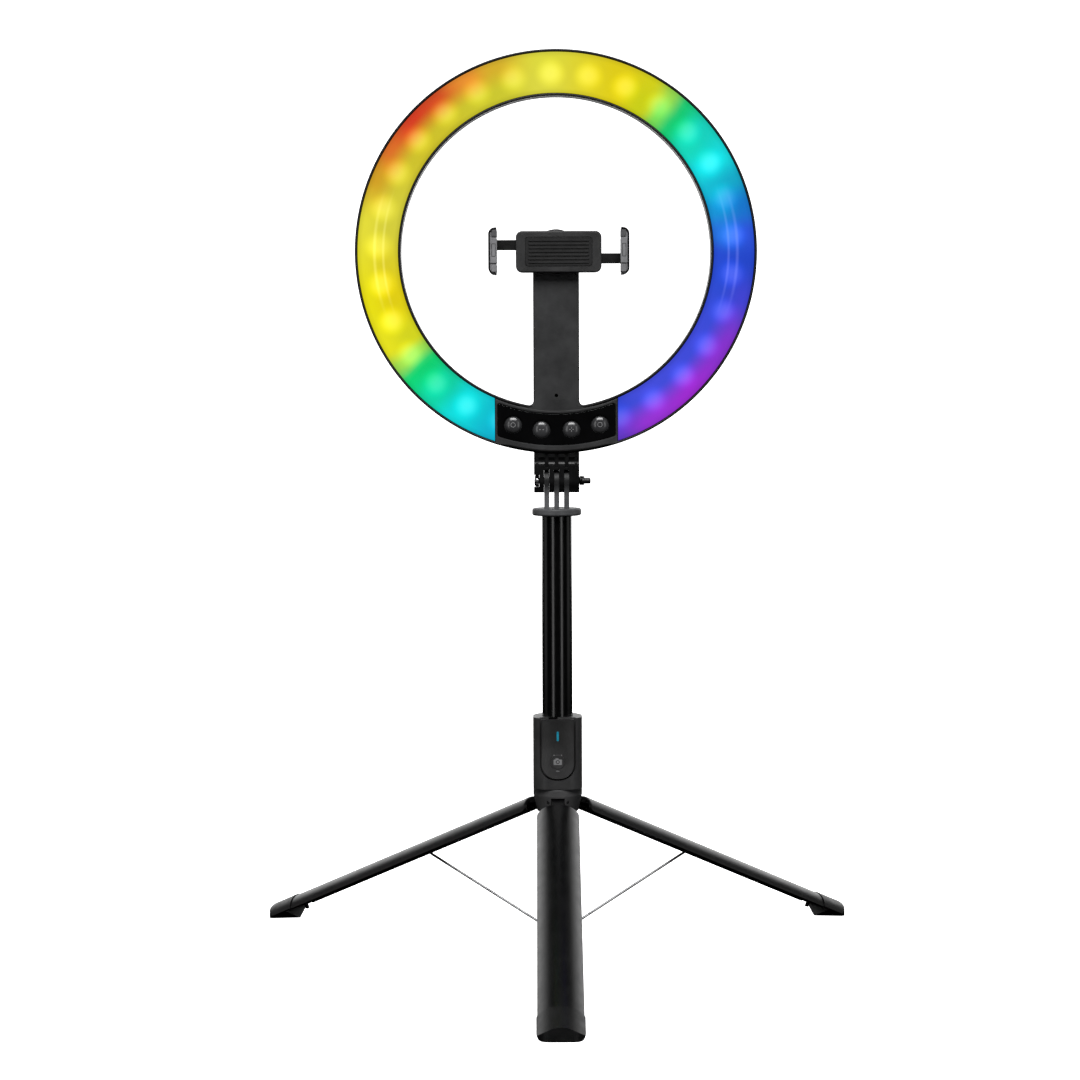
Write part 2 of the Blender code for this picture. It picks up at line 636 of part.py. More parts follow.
def make_dock():
    """The stand's grip: round at the back and squarer in front, where the remote sits."""
    flat = STAND_RADIUS - DOCK_CORNER
    back = arc((0, 0), STAND_RADIUS, 0, math.pi, 17)
    left = arc((-flat, -flat), DOCK_CORNER, math.pi, 1.5 * math.pi, 6)
    right = arc((flat, -flat), DOCK_CORNER, 1.5 * math.pi, 2 * math.pi, 6)
    dock = prism("dock_shell", back + left + right, HUB_TOP + GAP, DOCK_TOP, parent=STAND)
    bush_top = HUB_TOP + GAP + DOCK_BUSH_HEIGHT
    cut(dock, cylinder("bore", BORE_RADIUS, 90 * MM, 160 * MM, 32, parent=STAND))
    cut(dock, cylinder("bush_seat", BORE_RADIUS + BUSH_WALL + GAP, 90 * MM, bush_top, 24, parent=STAND))
    pocket = front_view("pocket", pocket_outline(), REMOTE_BACK + 0.4 * MM, REMOTE_FRONT - 4 * MM)
    finish(cut(dock, pocket), "satin_black")
    bush = ring_profile(BORE_RADIUS + BUSH_WALL, BORE_RADIUS, HUB_TOP + 2 * GAP, bush_top - GAP)
    finish(turned("dock_bush", bush, 24, hollow=True, parent=STAND), "bush")


def pocket_outline():
    outline = remote_outline(-GAP)
    return [(x, y if y < DOCK_TOP - 1 * MM else DOCK_TOP + 3 * MM) for x, y in outline]


def make_remote():
    case = front_view("remote_case", remote_outline(0), REMOTE_BACK, REMOTE_SPLIT + GAP / 2)
    floor = REMOTE_BACK - 0.8 * MM
    hollow = front_view("case_hollow", remote_outline(REMOTE_WALL), floor, REMOTE_SPLIT - 2 * MM)
    finish(cut(case, hollow), "satin_black")
    cover = remote_block("remote_cover", 0, REMOTE_SPLIT - GAP / 2)
    cut(cover, remote_block("cover_hollow", REMOTE_WALL, REMOTE_SPLIT + 2 * MM))
    facing = {"parent": STAND, "location": (0, 0, REMOTE_BUTTON_Z), "rotation": (math.pi / 2, 0, 0)}
    cut(cover, cylinder("button_hole", REMOTE_BUTTON_RADIUS + GAP, 12.5 * MM, 20 * MM, 24, **facing))
    finish(cover, "satin_black")
    button_span = (REMOTE_BUTTON_BACK, REMOTE_BUTTON_FRONT)
    finish(cylinder("remote_button", REMOTE_BUTTON_RADIUS, *button_span, 24, **facing), "satin_black")
    facing["location"] = (0, 0, REMOTE_BOARD_Z)
    board_outline = rounded_box(*REMOTE_BOARD_SIZE, 2 * MM)
    finish(prism("remote_board", board_outline, 13.1 * MM, 13.7 * MM, **facing), "board")
    facing["location"] = (0, 0, BATTERY_Z)
    finish(cylinder("remote_battery", BATTERY_RADIUS, 11.4 * MM, 12.8 * MM, 24, **facing), "chrome")


# ---------------------------------------------------------------- ring head

def ring_part(name, outline, low, high):
    return prism(name, outline, low, high, parent=RING_FRAME)


def stem_outline():
    top = arc((0, 0), STEM_HALF_WIDTH, 0, math.pi, 13)
    foot = -HOLE_RADIUS - 0.7 * MM
    return top + [(-STEM_HALF_WIDTH, foot), (STEM_HALF_WIDTH, foot)]


def make_front_frame():
    """The lit side's tray, with the button bay and the stem that carries the clamp."""
    edge = FRONT_EDGE
    inner_lip = HOLE_RADIUS + RIM_WALL
    outer_lip = RING_RADIUS - RIM_WALL
    profile = [
        (RING_RADIUS - edge, RING_FRONT), (RING_RADIUS, RING_FRONT - edge), (RING_RADIUS, PART_LINE),
        (HOLE_RADIUS, PART_LINE), (HOLE_RADIUS, RING_FRONT - edge), (HOLE_RADIUS + edge, RING_FRONT),
        (inner_lip, RING_FRONT), (inner_lip, TRAY_FLOOR), (outer_lip, TRAY_FLOOR), (outer_lip, RING_FRONT),
    ]
    frame = turned("ring_front_frame", profile, RING_STEPS, hollow=True, parent=RING_FRAME)
    bay_half = DIFFUSER_CUT - GAP
    bay = band_below(inner_lip - 0.8 * MM, outer_lip + 0.8 * MM, bay_half)
    join(frame, ring_part("bay", bay, PART_LINE + 0.5 * MM, RING_FRONT - 0.2 * MM))
    join(frame, ring_part("stem", stem_outline(), PART_LINE, STEM_FRONT))
    seat = band_below(PANEL_INNER - GAP, PANEL_OUTER + GAP, PANEL_HALF_WIDTH + GAP)
    ledge = PANEL_LEDGE
    window = band_below(PANEL_INNER + ledge, PANEL_OUTER - ledge, PANEL_HALF_WIDTH - ledge)
    cavity = band_below(inner_lip + 1.2 * MM, outer_lip - 1.2 * MM, PANEL_HALF_WIDTH + GAP)
    cut(frame, ring_part("panel_seat", seat, SEAT_FLOOR, 9 * MM))
    cut(frame, ring_part("window", window, BAY_ROOF - 0.6 * MM, 9 * MM))
    cut(frame, ring_part("bay_cavity", cavity, TRAY_FLOOR, BAY_ROOF))
    cut(frame, cylinder("swivel_bore", SWIVEL_RADIUS + GAP, -10 * MM, 10 * MM, 20, parent=RING_FRAME))
    stem_hole = {"parent": RING_FRAME, "location": (0, STEM_HOLE_Y, 0)}
    cut(frame, cylinder("stem_hole", STEM_HOLE_RADIUS, 4 * MM, 10 * MM, 12, **stem_hole))
    finish(frame, "dark_grey")


def make_rear_cover():
    edge = REAR_EDGE
    profile = [
        (RING_RADIUS, -PART_LINE), (RING_RADIUS, RING_BACK + edge), (RING_RADIUS - edge, RING_BACK),
        (HOLE_RADIUS + edge, RING_BACK), (HOLE_RADIUS, RING_BACK + edge), (HOLE_RADIUS, -PART_LINE),
        (HOLE_RADIUS + RIM_WALL, -PART_LINE), (HOLE_RADIUS + RIM_WALL, RING_BACK + edge),
        (HOLE_RADIUS + RIM_WALL + 1 * MM, RING_BACK + RIM_WALL),
        (RING_RADIUS - RIM_WALL - 1 * MM, RING_BACK + RIM_WALL),
        (RING_RADIUS - RIM_WALL, RING_BACK + edge), (RING_RADIUS - RIM_WALL, -PART_LINE),
    ]
    cover = turned("ring_rear_cover", profile, RING_STEPS, hollow=True, parent=RING_FRAME)
    join(cover, ring_part("stem_back", stem_outline(), STEM_BACK, -PART_LINE))
    cut(cover, cylinder("swivel_bore", SWIVEL_RADIUS + GAP, -10 * MM, 10 * MM, 20, parent=RING_FRAME))
    for x, y in NECK_SCREWS:
        at = {"parent": RING_FRAME, "location": (x, y, 0)}
        cut(cover, cylinder("screw_hole", NECK_SCREW_RADIUS + GAP, -12 * MM, -2 * MM, 10, **at))
    cut(cover, inlet_bar("socket", GAP, -12 * MM, INLET_DEPTH))
    finish(cover, "satin_black")


def inlet_bar(name, room, low, high):
    """A bar with the charging socket's cross-section, larger all round by room."""
    half_width, half_height = INLET_HALF
    outline = rounded_box(half_width + room, half_height + room, half_height + room - 0.05 * MM, 4)
    return prism(name, outline, low, high, parent=RING_FRAME, location=INLET_PLACE)


def make_inlet():
    """The charging socket's metal shell, open towards the back."""
    inlet = inlet_bar("power_inlet", 0, RING_BACK, INLET_DEPTH)
    cut(inlet, inlet_bar("mouth", -0.4 * MM, RING_BACK - 1 * MM, INLET_DEPTH - 0.8 * MM))
    tongue_low = (-3.3 * MM, -0.35 * MM, RING_BACK + 1.2 * MM)
    tongue_high = (3.3 * MM, 0.35 * MM, INLET_DEPTH - 0.4 * MM)
    join(inlet, box("tongue", tongue_low, tongue_high, parent=RING_FRAME, location=INLET_PLACE))
    finish(inlet, "steel")


def lamp_band(inset):
    """A narrower outline of the diffuser, for what lies behind it."""
    return band_above(DIFFUSER_INNER + inset, DIFFUSER_OUTER - inset, DIFFUSER_CUT + inset / 2, 36)


def make_light():
    """The diffuser, the spreader behind it and the board of lamps."""
    diffuser = band_above(DIFFUSER_INNER, DIFFUSER_OUTER, DIFFUSER_CUT)
    finish(ring_part("ring_diffuser", diffuser, *DIFFUSER_SPAN), "diffuser")
    finish(ring_part("light_spreader", lamp_band(0.4 * MM), *SPREADER_SPAN), "diffuser")
    board = ring_part("led_board", lamp_band(1.4 * MM), *LED_BOARD_SPAN)
    pitch = LED_SPAN / (LED_COUNT - 1)
    lamp_bottom = LED_BOARD_SPAN[1] - 0.2 * MM
    for index in range(LED_COUNT):
        angle = index * pitch - LED_SPAN / 2
        place = (LED_RING * math.sin(angle), LED_RING * math.cos(angle), 0)
        at = {"parent": RING_FRAME, "location": place, "rotation": (0, 0, -angle)}
        lamp = ((-LED_HALF, -LED_HALF, lamp_bottom), (LED_HALF, LED_HALF, LED_TOP))
        join(board, box("lamp", *lamp, **at))
    finish(board, "board")


def button_place(angle):
    return (BUTTON_RING * math.sin(angle), -BUTTON_RING * math.cos(angle), 0)


def make_controls():
    outline = band_below(PANEL_INNER, PANEL_OUTER, PANEL_HALF_WIDTH)
    panel = ring_part("control_panel", outline, *PANEL_SPAN)
    board_outline = band_below(PANEL_INNER + 1 * MM, PANEL_OUTER - 1 * MM, PANEL_HALF_WIDTH - 1 * MM)
    board = ring_part("control_board", board_outline, *CONTROL_BOARD_SPAN)
    flange = BUTTON_RADIUS + 0.75 * MM
    profile = [
        (0, 8.5 * MM), (3.0 * MM, 8.35 * MM), (4.9 * MM, 7.95 * MM), (BUTTON_RADIUS, 7.5 * MM),
        (BUTTON_RADIUS, 6.35 * MM), (flange, 6.35 * MM), (flange, 5.6 * MM), (1.5 * MM, 5.6 * MM),
        (1.5 * MM, 4.95 * MM), (0, 4.95 * MM),
    ]
    for number, angle in enumerate(BUTTON_ANGLES, start=1):
        at = {"parent": RING_FRAME, "location": button_place(angle)}
        cut(panel, cylinder("button_hole", BUTTON_RADIUS + GAP, 5 * MM, 9 * MM, 16, **at))
        join(board, cylinder("switch", 2.4 * MM, 3 * MM, 4 * MM, 8, **at))
        finish(turned(f"button_{number}", profile, 16, **at), "gloss_black")
    finish(panel, "gloss_black")
    finish(board, "board")


# ---------------------------------------------------------------- neck

def make_neck():
    """The fork under the ring that straddles the three fins of the mast head."""
    step_z = TILT_Z + NECK_STEP
    outline = arc((0, TILT_Z), NECK_ROUND, math.pi, 2 * math.pi, 9)
    outline += [(NECK_ROUND, step_z), (NECK_BACK, step_z), (NECK_BACK, NECK_TOP), (-NECK_ROUND, NECK_TOP)]
    side_on = (math.pi / 2, 0, math.pi / 2)
    neck = prism("neck_bracket", outline, -NECK_HALF_WIDTH, NECK_HALF_WIDTH, parent=STAND, rotation=side_on)
    clearance = RING_RADIUS + GAP
    cut(neck, cylinder("ring_room", clearance, RING_BACK - GAP, 30 * MM, 96, parent=RING_FRAME))
    half = FIN_THICKNESS / 2 + GAP
    slot_top = TILT_Z + FIN_RADIUS + 0.6 * MM
    for place in (-1, 0, 1):
        middle = place * FIN_PITCH
        low = (middle - half, -20 * MM, FLANGE_TOP - 2 * MM)
        high = (middle + half, 20 * MM, slot_top)
        cut(neck, box("fin_slot", low, high, parent=STAND))
    notch_depth, notch_half = NUT_NOTCH
    nut_low = (-NECK_HALF_WIDTH - 1 * MM, -20 * MM, TILT_Z - notch_half)
    nut_high = (-notch_depth, 20 * MM, TILT_Z + notch_half)
    cut(neck, box("nut_notch", nut_low, nut_high, parent=STAND))
    bolt = {"parent": STAND, "location": (0, 0, TILT_Z), "rotation": (0, math.pi / 2, 0)}
    cut(neck, cylinder("bolt_hole", SCREW_RADIUS + GAP, -20 * MM, 20 * MM, 12, **bolt))
    for x, y in NECK_SCREWS:
        at = {"parent": RING_FRAME, "location": (x, y, 0)}
        cut(neck, cylinder("screw_hole", NECK_SCREW_RADIUS + GAP, -14 * MM, -6 * MM, 10, **at))
    finish(neck, "satin_black")
    seat = -NECK_BACK - GAP
    screw_profile = [
        (0, -4 * MM), (NECK_SCREW_RADIUS, -4 * MM), (NECK_SCREW_RADIUS, seat), (3 * MM, seat),
        (3 * MM, seat - 1 * MM), (2.2 * MM, seat - 1.5 * MM), (0, seat - 1.5 * MM),
    ]
    for number, (x, y) in enumerate(NECK_SCREWS, start=1):
        at = {"parent": RING_FRAME, "location": (x, y, 0)}
        finish(turned(f"neck_screw_{number}", screw_profile, 12, **at), "steel")


def make_tilt_screw():
    """The bolt through the fins, with a flat wing to turn it, and its domed nut."""
    along = {"parent": STAND, "location": (0, 0, TILT_Z), "rotation": (0, math.pi / 2, 0)}
    face = NECK_HALF_WIDTH + GAP
    head = face + 2.5 * MM
    profile = [
        (0, head), (SCREW_HEAD_RADIUS - 0.6 * MM, head), (SCREW_HEAD_RADIUS, head - 0.6 * MM),
        (SCREW_HEAD_RADIUS, face), (SCREW_RADIUS, face), (SCREW_RADIUS, -12.4 * MM), (0, -12.4 * MM),
    ]
    screw = turned("tilt_screw", profile, 16, **along)
    wing = rounded_box(*WING_HALF, 1.6 * MM, 4)
    join(screw, prism("wing", wing, *WING_SPAN, **along))
    finish(screw, "satin_black")
    bore = SCREW_RADIUS + GAP
    nut_profile = [
        (0, -12.9 * MM), (bore, -12.9 * MM), (bore, -11.3 * MM), (NUT_RADIUS, -11.3 * MM),
        (NUT_RADIUS, -12.3 * MM), (2.9 * MM, -13.4 * MM), (1.6 * MM, -13.85 * MM), (0, -13.9 * MM),
    ]
    finish(turned("tilt_nut", nut_profile, 16, **along), "chrome")


# ---------------------------------------------------------------- phone clamp

def make_clamp():
    body_outline = rounded_box(CLAMP_HALF_WIDTH, CLAMP_HALF_HEIGHT, CLAMP_CORNER)
    inner_sizes = [size - CLAMP_WALL for size in (CLAMP_HALF_WIDTH, CLAMP_HALF_HEIGHT, CLAMP_CORNER)]
    body_back = CLAMP_SPLIT + GAP / 2
    body = ring_part("clamp_body", body_outline, body_back, CLAMP_FRONT)
    cavity = ring_part("cavity", rounded_box(*inner_sizes), CLAMP_SPLIT - 1 * MM, CLAMP_FRONT - CLAMP_WALL)
    cut(body, cavity)
    for side in (-1, 1):
        low, high = arm_span(side, 24 * MM, 30 * MM, GAP)
        cut(body, box("arm_slot", low, high, parent=RING_FRAME))
    finish(body, "satin_black")
    cover = ring_part("clamp_cover", body_outline, CLAMP_BACK, CLAMP_SPLIT - GAP / 2)
    cut(cover, cylinder("shaft_hole", SWIVEL_RADIUS + GAP, 5 * MM, 12 * MM, 20, parent=RING_FRAME))
    finish(cover, "satin_black")
    head_top = body_back + 1.2 * MM
    seat = STEM_BACK - GAP
    swivel = [
        (0, head_top), (SWIVEL_HEAD_RADIUS, head_top), (SWIVEL_HEAD_RADIUS, body_back),
        (SWIVEL_RADIUS, body_back), (SWIVEL_RADIUS, seat), (SWIVEL_FLANGE_RADIUS, seat),
        (SWIVEL_FLANGE_RADIUS, seat - 1 * MM), (SWIVEL_FLANGE_RADIUS - 1 * MM, seat - 1.5 * MM),
        (0, seat - 1.5 * MM),
    ]
    finish(turned("clamp_swivel", swivel, 20, parent=RING_FRAME), "steel")


def arm_span(side, inner_end, outer_end, room):
    """The box of one jaw's arm, the right arm below the middle and the left arm above."""
    ends = sorted((side * inner_end, side * outer_end))
    heights = sorted(-side * height for height in ARM_HEIGHTS)
    low = (ends[0], heights[0] - room, ARM_SPAN[0] - room)
    high = (ends[1], heights[1] + room, ARM_SPAN[1] + room)
    return low, high


def make_jaw(name, side):
    middle = side * (JAW_OUTER + JAW_INNER) / 2
    at = {"parent": RING_FRAME, "location": (middle, 0, 0)}
    half = (JAW_OUTER - JAW_INNER) / 2
    inner_x = -side * half
    corner = JAW_CORNER
    outer_centre = side * (half - corner)
    turn = 0 if side > 0 else math.pi / 2
    high_corner = arc((outer_centre, JAW_HALF_HEIGHT - corner), corner, turn, turn + math.pi / 2, 6)
    low_corner = [(x, -y) for x, y in reversed(high_corner)]
    if side > 0:
        outline = high_corner + [(inner_x, JAW_HALF_HEIGHT), (inner_x, -JAW_HALF_HEIGHT)] + low_corner
    else:
        outline = high_corner + low_corner + [(inner_x, -JAW_HALF_HEIGHT), (inner_x, JAW_HALF_HEIGHT)]
    jaw = prism(name, outline, JAW_BACK, JAW_FRONT, **at)
    ends = sorted((side * (half - JAW_WALL), -side * (half + 2 * MM)))
    pocket_high = JAW_HALF_HEIGHT - 1 * MM
    pocket_low_corner = (ends[0], -pocket_high, PAD_POCKET_BACK)
    cut(jaw, box("pad_pocket", pocket_low_corner, (ends[1], pocket_high, JAW_FRONT + 2 * MM), **at))
    join(jaw, box("arm", *arm_span(side, -5 * MM, JAW_OUTER - 1.5 * MM, 0), parent=RING_FRAME))
    finish(jaw, "satin_black")
    pad_ends = sorted((side * (half - JAW_WALL - GAP), -side * (half + PAD_PROUD)))
    pad_high = pocket_high - GAP
    pad_low_corner = (pad_ends[0], -pad_high, PAD_POCKET_BACK + GAP)
    pad = box(f"jaw_pad_{name[4:]}", pad_low_corner, (pad_ends[1], pad_high, PAD_FRONT), **at)
    finish(pad, "grey_rubber")


def make_clamp_spring():
    """The coil that pulls the jaws together, above their arms."""
    per_turn = 6
    curve = bpy.data.curves.new("clamp_spring", "CURVE")
    curve.dimensions = "3D"
    curve.bevel_depth = SPRING_WIRE
    curve.bevel_resolution = 1
    curve.use_fill_caps = True
    spline = curve.splines.new("POLY")
    count = SPRING_TURNS * per_turn + 1
    spline.points.add(count - 1)
    for index, point in enumerate(spline.points):
        angle = 2 * math.pi * index / per_turn
        along = SPRING_LENGTH * (index / (count - 1) - 0.5)
        point.co = (along, SPRING_RADIUS * math.cos(angle), SPRING_RADIUS * math.sin(angle), 1)
    mesh = mesh_of_curve(curve)
    weld(mesh)
    finish(shape("clamp_spring", mesh, RING_FRAME, SPRING_PLACE), "steel")


def main():
    make_legs()
    make_mast()
    make_strut_hub()
    make_mast_head()
    make_leg_hub()
    make_dock()
    make_remote()
    make_front_frame()
    make_rear_cover()
    make_inlet()
    make_light()
    make_controls()
    make_neck()
    make_tilt_screw()
    make_clamp()
    make_jaw("jaw_left", -1)
    make_jaw("jaw_right", 1)
    make_clamp_spring()
    bpy.context.view_layer.update()


main()
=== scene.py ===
import json
import math

import bmesh
import bpy
from mathutils import Matrix, Vector


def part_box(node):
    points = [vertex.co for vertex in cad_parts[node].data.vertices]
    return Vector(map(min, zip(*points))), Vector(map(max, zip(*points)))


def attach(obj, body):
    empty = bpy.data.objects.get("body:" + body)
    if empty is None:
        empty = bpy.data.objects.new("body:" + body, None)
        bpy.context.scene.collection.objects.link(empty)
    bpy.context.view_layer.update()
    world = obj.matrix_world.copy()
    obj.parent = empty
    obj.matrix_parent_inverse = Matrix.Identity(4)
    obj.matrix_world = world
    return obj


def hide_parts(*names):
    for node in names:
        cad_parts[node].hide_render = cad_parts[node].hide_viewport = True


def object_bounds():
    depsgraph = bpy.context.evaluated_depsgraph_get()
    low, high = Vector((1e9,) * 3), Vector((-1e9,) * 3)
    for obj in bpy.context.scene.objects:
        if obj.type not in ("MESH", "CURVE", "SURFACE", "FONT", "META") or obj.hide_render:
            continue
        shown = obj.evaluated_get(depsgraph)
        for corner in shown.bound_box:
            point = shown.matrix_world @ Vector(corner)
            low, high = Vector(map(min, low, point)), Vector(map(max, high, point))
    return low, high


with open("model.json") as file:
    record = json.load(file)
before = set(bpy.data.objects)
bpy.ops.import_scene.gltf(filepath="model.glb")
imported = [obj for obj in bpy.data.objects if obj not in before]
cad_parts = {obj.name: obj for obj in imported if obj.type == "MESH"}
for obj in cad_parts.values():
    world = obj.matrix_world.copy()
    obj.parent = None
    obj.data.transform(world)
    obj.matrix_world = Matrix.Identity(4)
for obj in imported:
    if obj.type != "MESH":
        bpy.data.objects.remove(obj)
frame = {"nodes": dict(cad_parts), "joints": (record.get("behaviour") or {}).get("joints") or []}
CAD_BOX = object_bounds()
JOINTS = {joint["name"]: joint for joint in frame["joints"]}

MM = 0.001
GAP = 0.3 * MM

# ---------------------------------------------------------------- places, from the frame
MAST_Y = JOINTS["ring_tilt"]["pos_m"][1]
TILT_Z = JOINTS["ring_tilt"]["pos_m"][2]
RING_Z = JOINTS["clamp_turn"]["pos_m"][2]
HIPS = [Vector(JOINTS[f"leg_{number}_fold"]["pos_m"]) for number in (1, 2, 3)]
KNEES = [Vector(JOINTS[f"strut_{number}_fold"]["pos_m"]) for number in (1, 2, 3)]
AZIMUTHS = (0.0, math.radians(120), math.radians(-120))
PIVOT_RADIUS = MAST_Y - HIPS[0].y
LEG_PIVOT_Z = HIPS[0].z
OPEN_ANGLE = math.atan2(HIPS[0].y - KNEES[0].y, HIPS[0].z - KNEES[0].z)
STRUT_LENGTH = (HIPS[0] - KNEES[0]).length

QUARTER_X, QUARTER_Y, QUARTER_Z = (Matrix.Rotation(math.pi / 2, 4, axis) for axis in "XYZ")
STAND = Matrix.Translation((0, MAST_Y, 0))
RING = Matrix.Translation((0, MAST_Y, RING_Z)) @ QUARTER_X
TILT = Matrix.Translation((0, MAST_Y, TILT_Z)) @ QUARTER_Y
SIDE_ON = STAND @ QUARTER_Z @ QUARTER_X
UPRIGHT = STAND @ QUARTER_X


def span(node, axis):
    low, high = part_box(node)
    return low[axis], high[axis]


def front_of(node):
    """A node's nearest and furthest faces, as distances in front of the mast's axis."""
    low, high = span(node, 1)
    return MAST_Y - high, MAST_Y - low


# ---------------------------------------------------------------- mesh helpers

ON_AXIS = 0.0001 * MM
NEARLY_STRAIGHT = math.radians(170)
LEAST_STEP = 0.002 * MM
WELD = 0.01 * MM


def arc(centre, radius, start, end, count):
    step = (end - start) / (count - 1)
    angles = [start + step * index for index in range(count)]
    return [(centre[0] + radius * math.cos(a), centre[1] + radius * math.sin(a)) for a in angles]


def rounded_box(half_width, half_height, corner, steps=9):
    points = []
    for quarter in range(4):
        start = quarter * math.pi / 2
        side_x = 1 if quarter in (0, 3) else -1
        side_y = 1 if quarter in (0, 1) else -1
        centre = (side_x * (half_width - corner), side_y * (half_height - corner))
        points += arc(centre, corner, start, start + math.pi / 2, steps)
    return points


def tidy_outline(outline):
    """The outline without points that repeat the one before, turning anticlockwise."""
    points = []
    for x, y in outline:
        if not points or math.hypot(x - points[-1][0], y - points[-1][1]) > LEAST_STEP:
            points.append((x, y))
    if math.hypot(points[0][0] - points[-1][0], points[0][1] - points[-1][1]) <= LEAST_STEP:
        points.pop()
    area = sum(a[0] * b[1] - b[0] * a[1] for a, b in zip(points, points[1:] + points[:1]))
    return points if area > 0 else points[::-1]


def inset(outline, distance):
    """The outline moved inwards by a distance, corner by corner."""
    moved = []
    count = len(outline)
    for index, here in enumerate(outline):
        before = Vector(outline[index - 1])
        after = Vector(outline[(index + 1) % count])
        here = Vector(here)
        into = (here - before).normalized()
        out_of = (after - here).normalized()
        normal = Vector((-into.y - out_of.y, into.x + out_of.x))
        normal = normal.normalized() if normal.length > 1e-6 else Vector((-into.y, into.x))
        lean = max(0.4, normal.dot(Vector((-into.y, into.x))))
        moved.append(tuple(here + normal * (distance / lean)))
    return moved


def rounded_fillet(outline, radii):
    """The outline with each corner that has a radius made round."""
    points = []
    count = len(outline)
    for index, (corner, radius) in enumerate(zip(outline, radii)):
        here = Vector(corner)
        if not radius:
            points.append(tuple(here))
            continue
        back = (Vector(outline[index - 1]) - here).normalized()
        ahead = (Vector(outline[(index + 1) % count]) - here).normalized()
        half = back.angle(ahead) / 2
        reach = radius / math.tan(half)
        start = here + back * reach
        end = here + ahead * reach
        centre = here + (back + ahead).normalized() * (radius / math.sin(half))
        first = math.atan2(start.y - centre.y, start.x - centre.x)
        last = math.atan2(end.y - centre.y, end.x - centre.x)
        sweep = (last - first + math.pi) % (2 * math.pi) - math.pi
        points += arc(centre, radius, first, first + sweep, 7)
    return points


def loft(work, rings):
    """Faces between loops of points, with both ends filled."""
    loops = [[work.verts.new(point) for point in ring] for ring in rings]
    count = len(loops[0])
    for low, high in zip(loops, loops[1:]):
        for index in range(count):
            after = (index + 1) % count
            work.faces.new((low[index], low[after], high[after], high[index]))
    work.faces.new(loops[0][::-1])
    work.faces.new(loops[-1])


def add_prism(work, outline, low, high, matrix, bevel=0.0, low_bevel=None, steps=4):
    """A flat outline extruded along local Z, with round edges."""
    outline = tidy_outline(outline)
    low_bevel = bevel if low_bevel is None else low_bevel
    turns = [math.pi / 2 * step / steps for step in range(steps + 1)]
    rings = [(low_bevel * (1 - math.sin(a)), low + low_bevel * (1 - math.cos(a))) for a in turns]
    top = [(bevel * (1 - math.cos(a)), high - bevel * (1 - math.sin(a))) for a in turns]
    if not low_bevel:
        rings = [(0.0, low)]
    if not bevel:
        top = [(0.0, high)]
    loops = []
    for amount, z in rings + top:
        loops.append([matrix @ Vector((x, y, z)) for x, y in inset(outline, amount)])
    loft(work, loops)


def add_lathe(work, profile, steps, matrix, closed=True):
    """A profile of (radius, height) points turned about local Z."""
    columns = []
    poles = {}
    for index in range(steps):
        angle = 2 * math.pi * index / steps
        column = []
        for place, (radius, height) in enumerate(profile):
            if radius > ON_AXIS:
                point = Vector((radius * math.cos(angle), radius * math.sin(angle), height))
                column.append(work.verts.new(matrix @ point))
                continue
            if place not in poles:
                poles[place] = work.verts.new(matrix @ Vector((0, 0, height)))
            column.append(poles[place])
        columns.append(column)
    length = len(profile)
    for here, after in zip(columns, columns[1:] + columns[:1]):
        for index in range(length if closed else length - 1):
            ahead = (index + 1) % length
            corners = list(dict.fromkeys((here[index], after[index], after[ahead], here[ahead])))
            if len(corners) > 2:
                work.faces.new(corners)


def soften(profile, radius, steps=5, closed=True):
    """A lathe profile with its corners rounded, except those on the axis."""
    points = []
    count = len(profile)
    for index, (r, h) in enumerate(profile):
        here = Vector((r, h))
        ends = not closed and index in (0, count - 1)
        if ends or r <= ON_AXIS:
            points.append((r, h))
            continue
        back = Vector(profile[index - 1]) - here
        ahead = Vector(profile[(index + 1) % count]) - here
        turn = back.angle(ahead)
        if turn > NEARLY_STRAIGHT:
            points.append((r, h))
            continue
        reach = min(radius / math.tan(turn / 2), 0.45 * back.length, 0.45 * ahead.length)
        size = reach * math.tan(turn / 2)
        start = here + back.normalized() * reach
        end = here + ahead.normalized() * reach
        middle = (back.normalized() + ahead.normalized()).normalized()
        centre = here + middle * (size / math.sin(turn / 2))
        first = math.atan2(start.y - centre.y, start.x - centre.x)
        last = math.atan2(end.y - centre.y, end.x - centre.x)
        sweep = (last - first + math.pi) % (2 * math.pi) - math.pi
        points += arc(centre, size, first, first + sweep, steps)
    return points


def new_piece(name, build, material, body, replaced=(), smooth=35):
    """A named piece from one build function, riding on a body."""
    work = bmesh.new()
    build(work)
    bmesh.ops.recalc_face_normals(work, faces=work.faces)
    mesh = bpy.data.meshes.new(name)
    work.to_mesh(mesh)
    work.free()
    piece = bpy.data.objects.new(name, mesh)
    bpy.context.scene.collection.objects.link(piece)
    mesh.materials.append(material)
    mesh.shade_smooth()
    mesh.set_sharp_from_angle(angle=math.radians(smooth))
    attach(piece, body)
    if replaced:
        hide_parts(*([replaced] if isinstance(replaced, str) else replaced))
    return piece


def carve(piece, *builders, operation="DIFFERENCE"):
    """Booleans on a piece with tools from build functions, made real at once."""
    tools = []
    for build in builders:
        work = bmesh.new()
        build(work)
        bmesh.ops.recalc_face_normals(work, faces=work.faces)
        mesh = bpy.data.meshes.new("tool")
        work.to_mesh(mesh)
        work.free()
        tool = bpy.data.objects.new("tool", mesh)
        bpy.context.scene.collection.objects.link(tool)
        modifier = piece.modifiers.new("carve", "BOOLEAN")
        modifier.operation = operation
        modifier.solver = "EXACT"
        modifier.object = tool
        tools.append(tool)
    make_real(piece)
    for tool in tools:
        bpy.data.objects.remove(tool, do_unlink=True)
    return piece


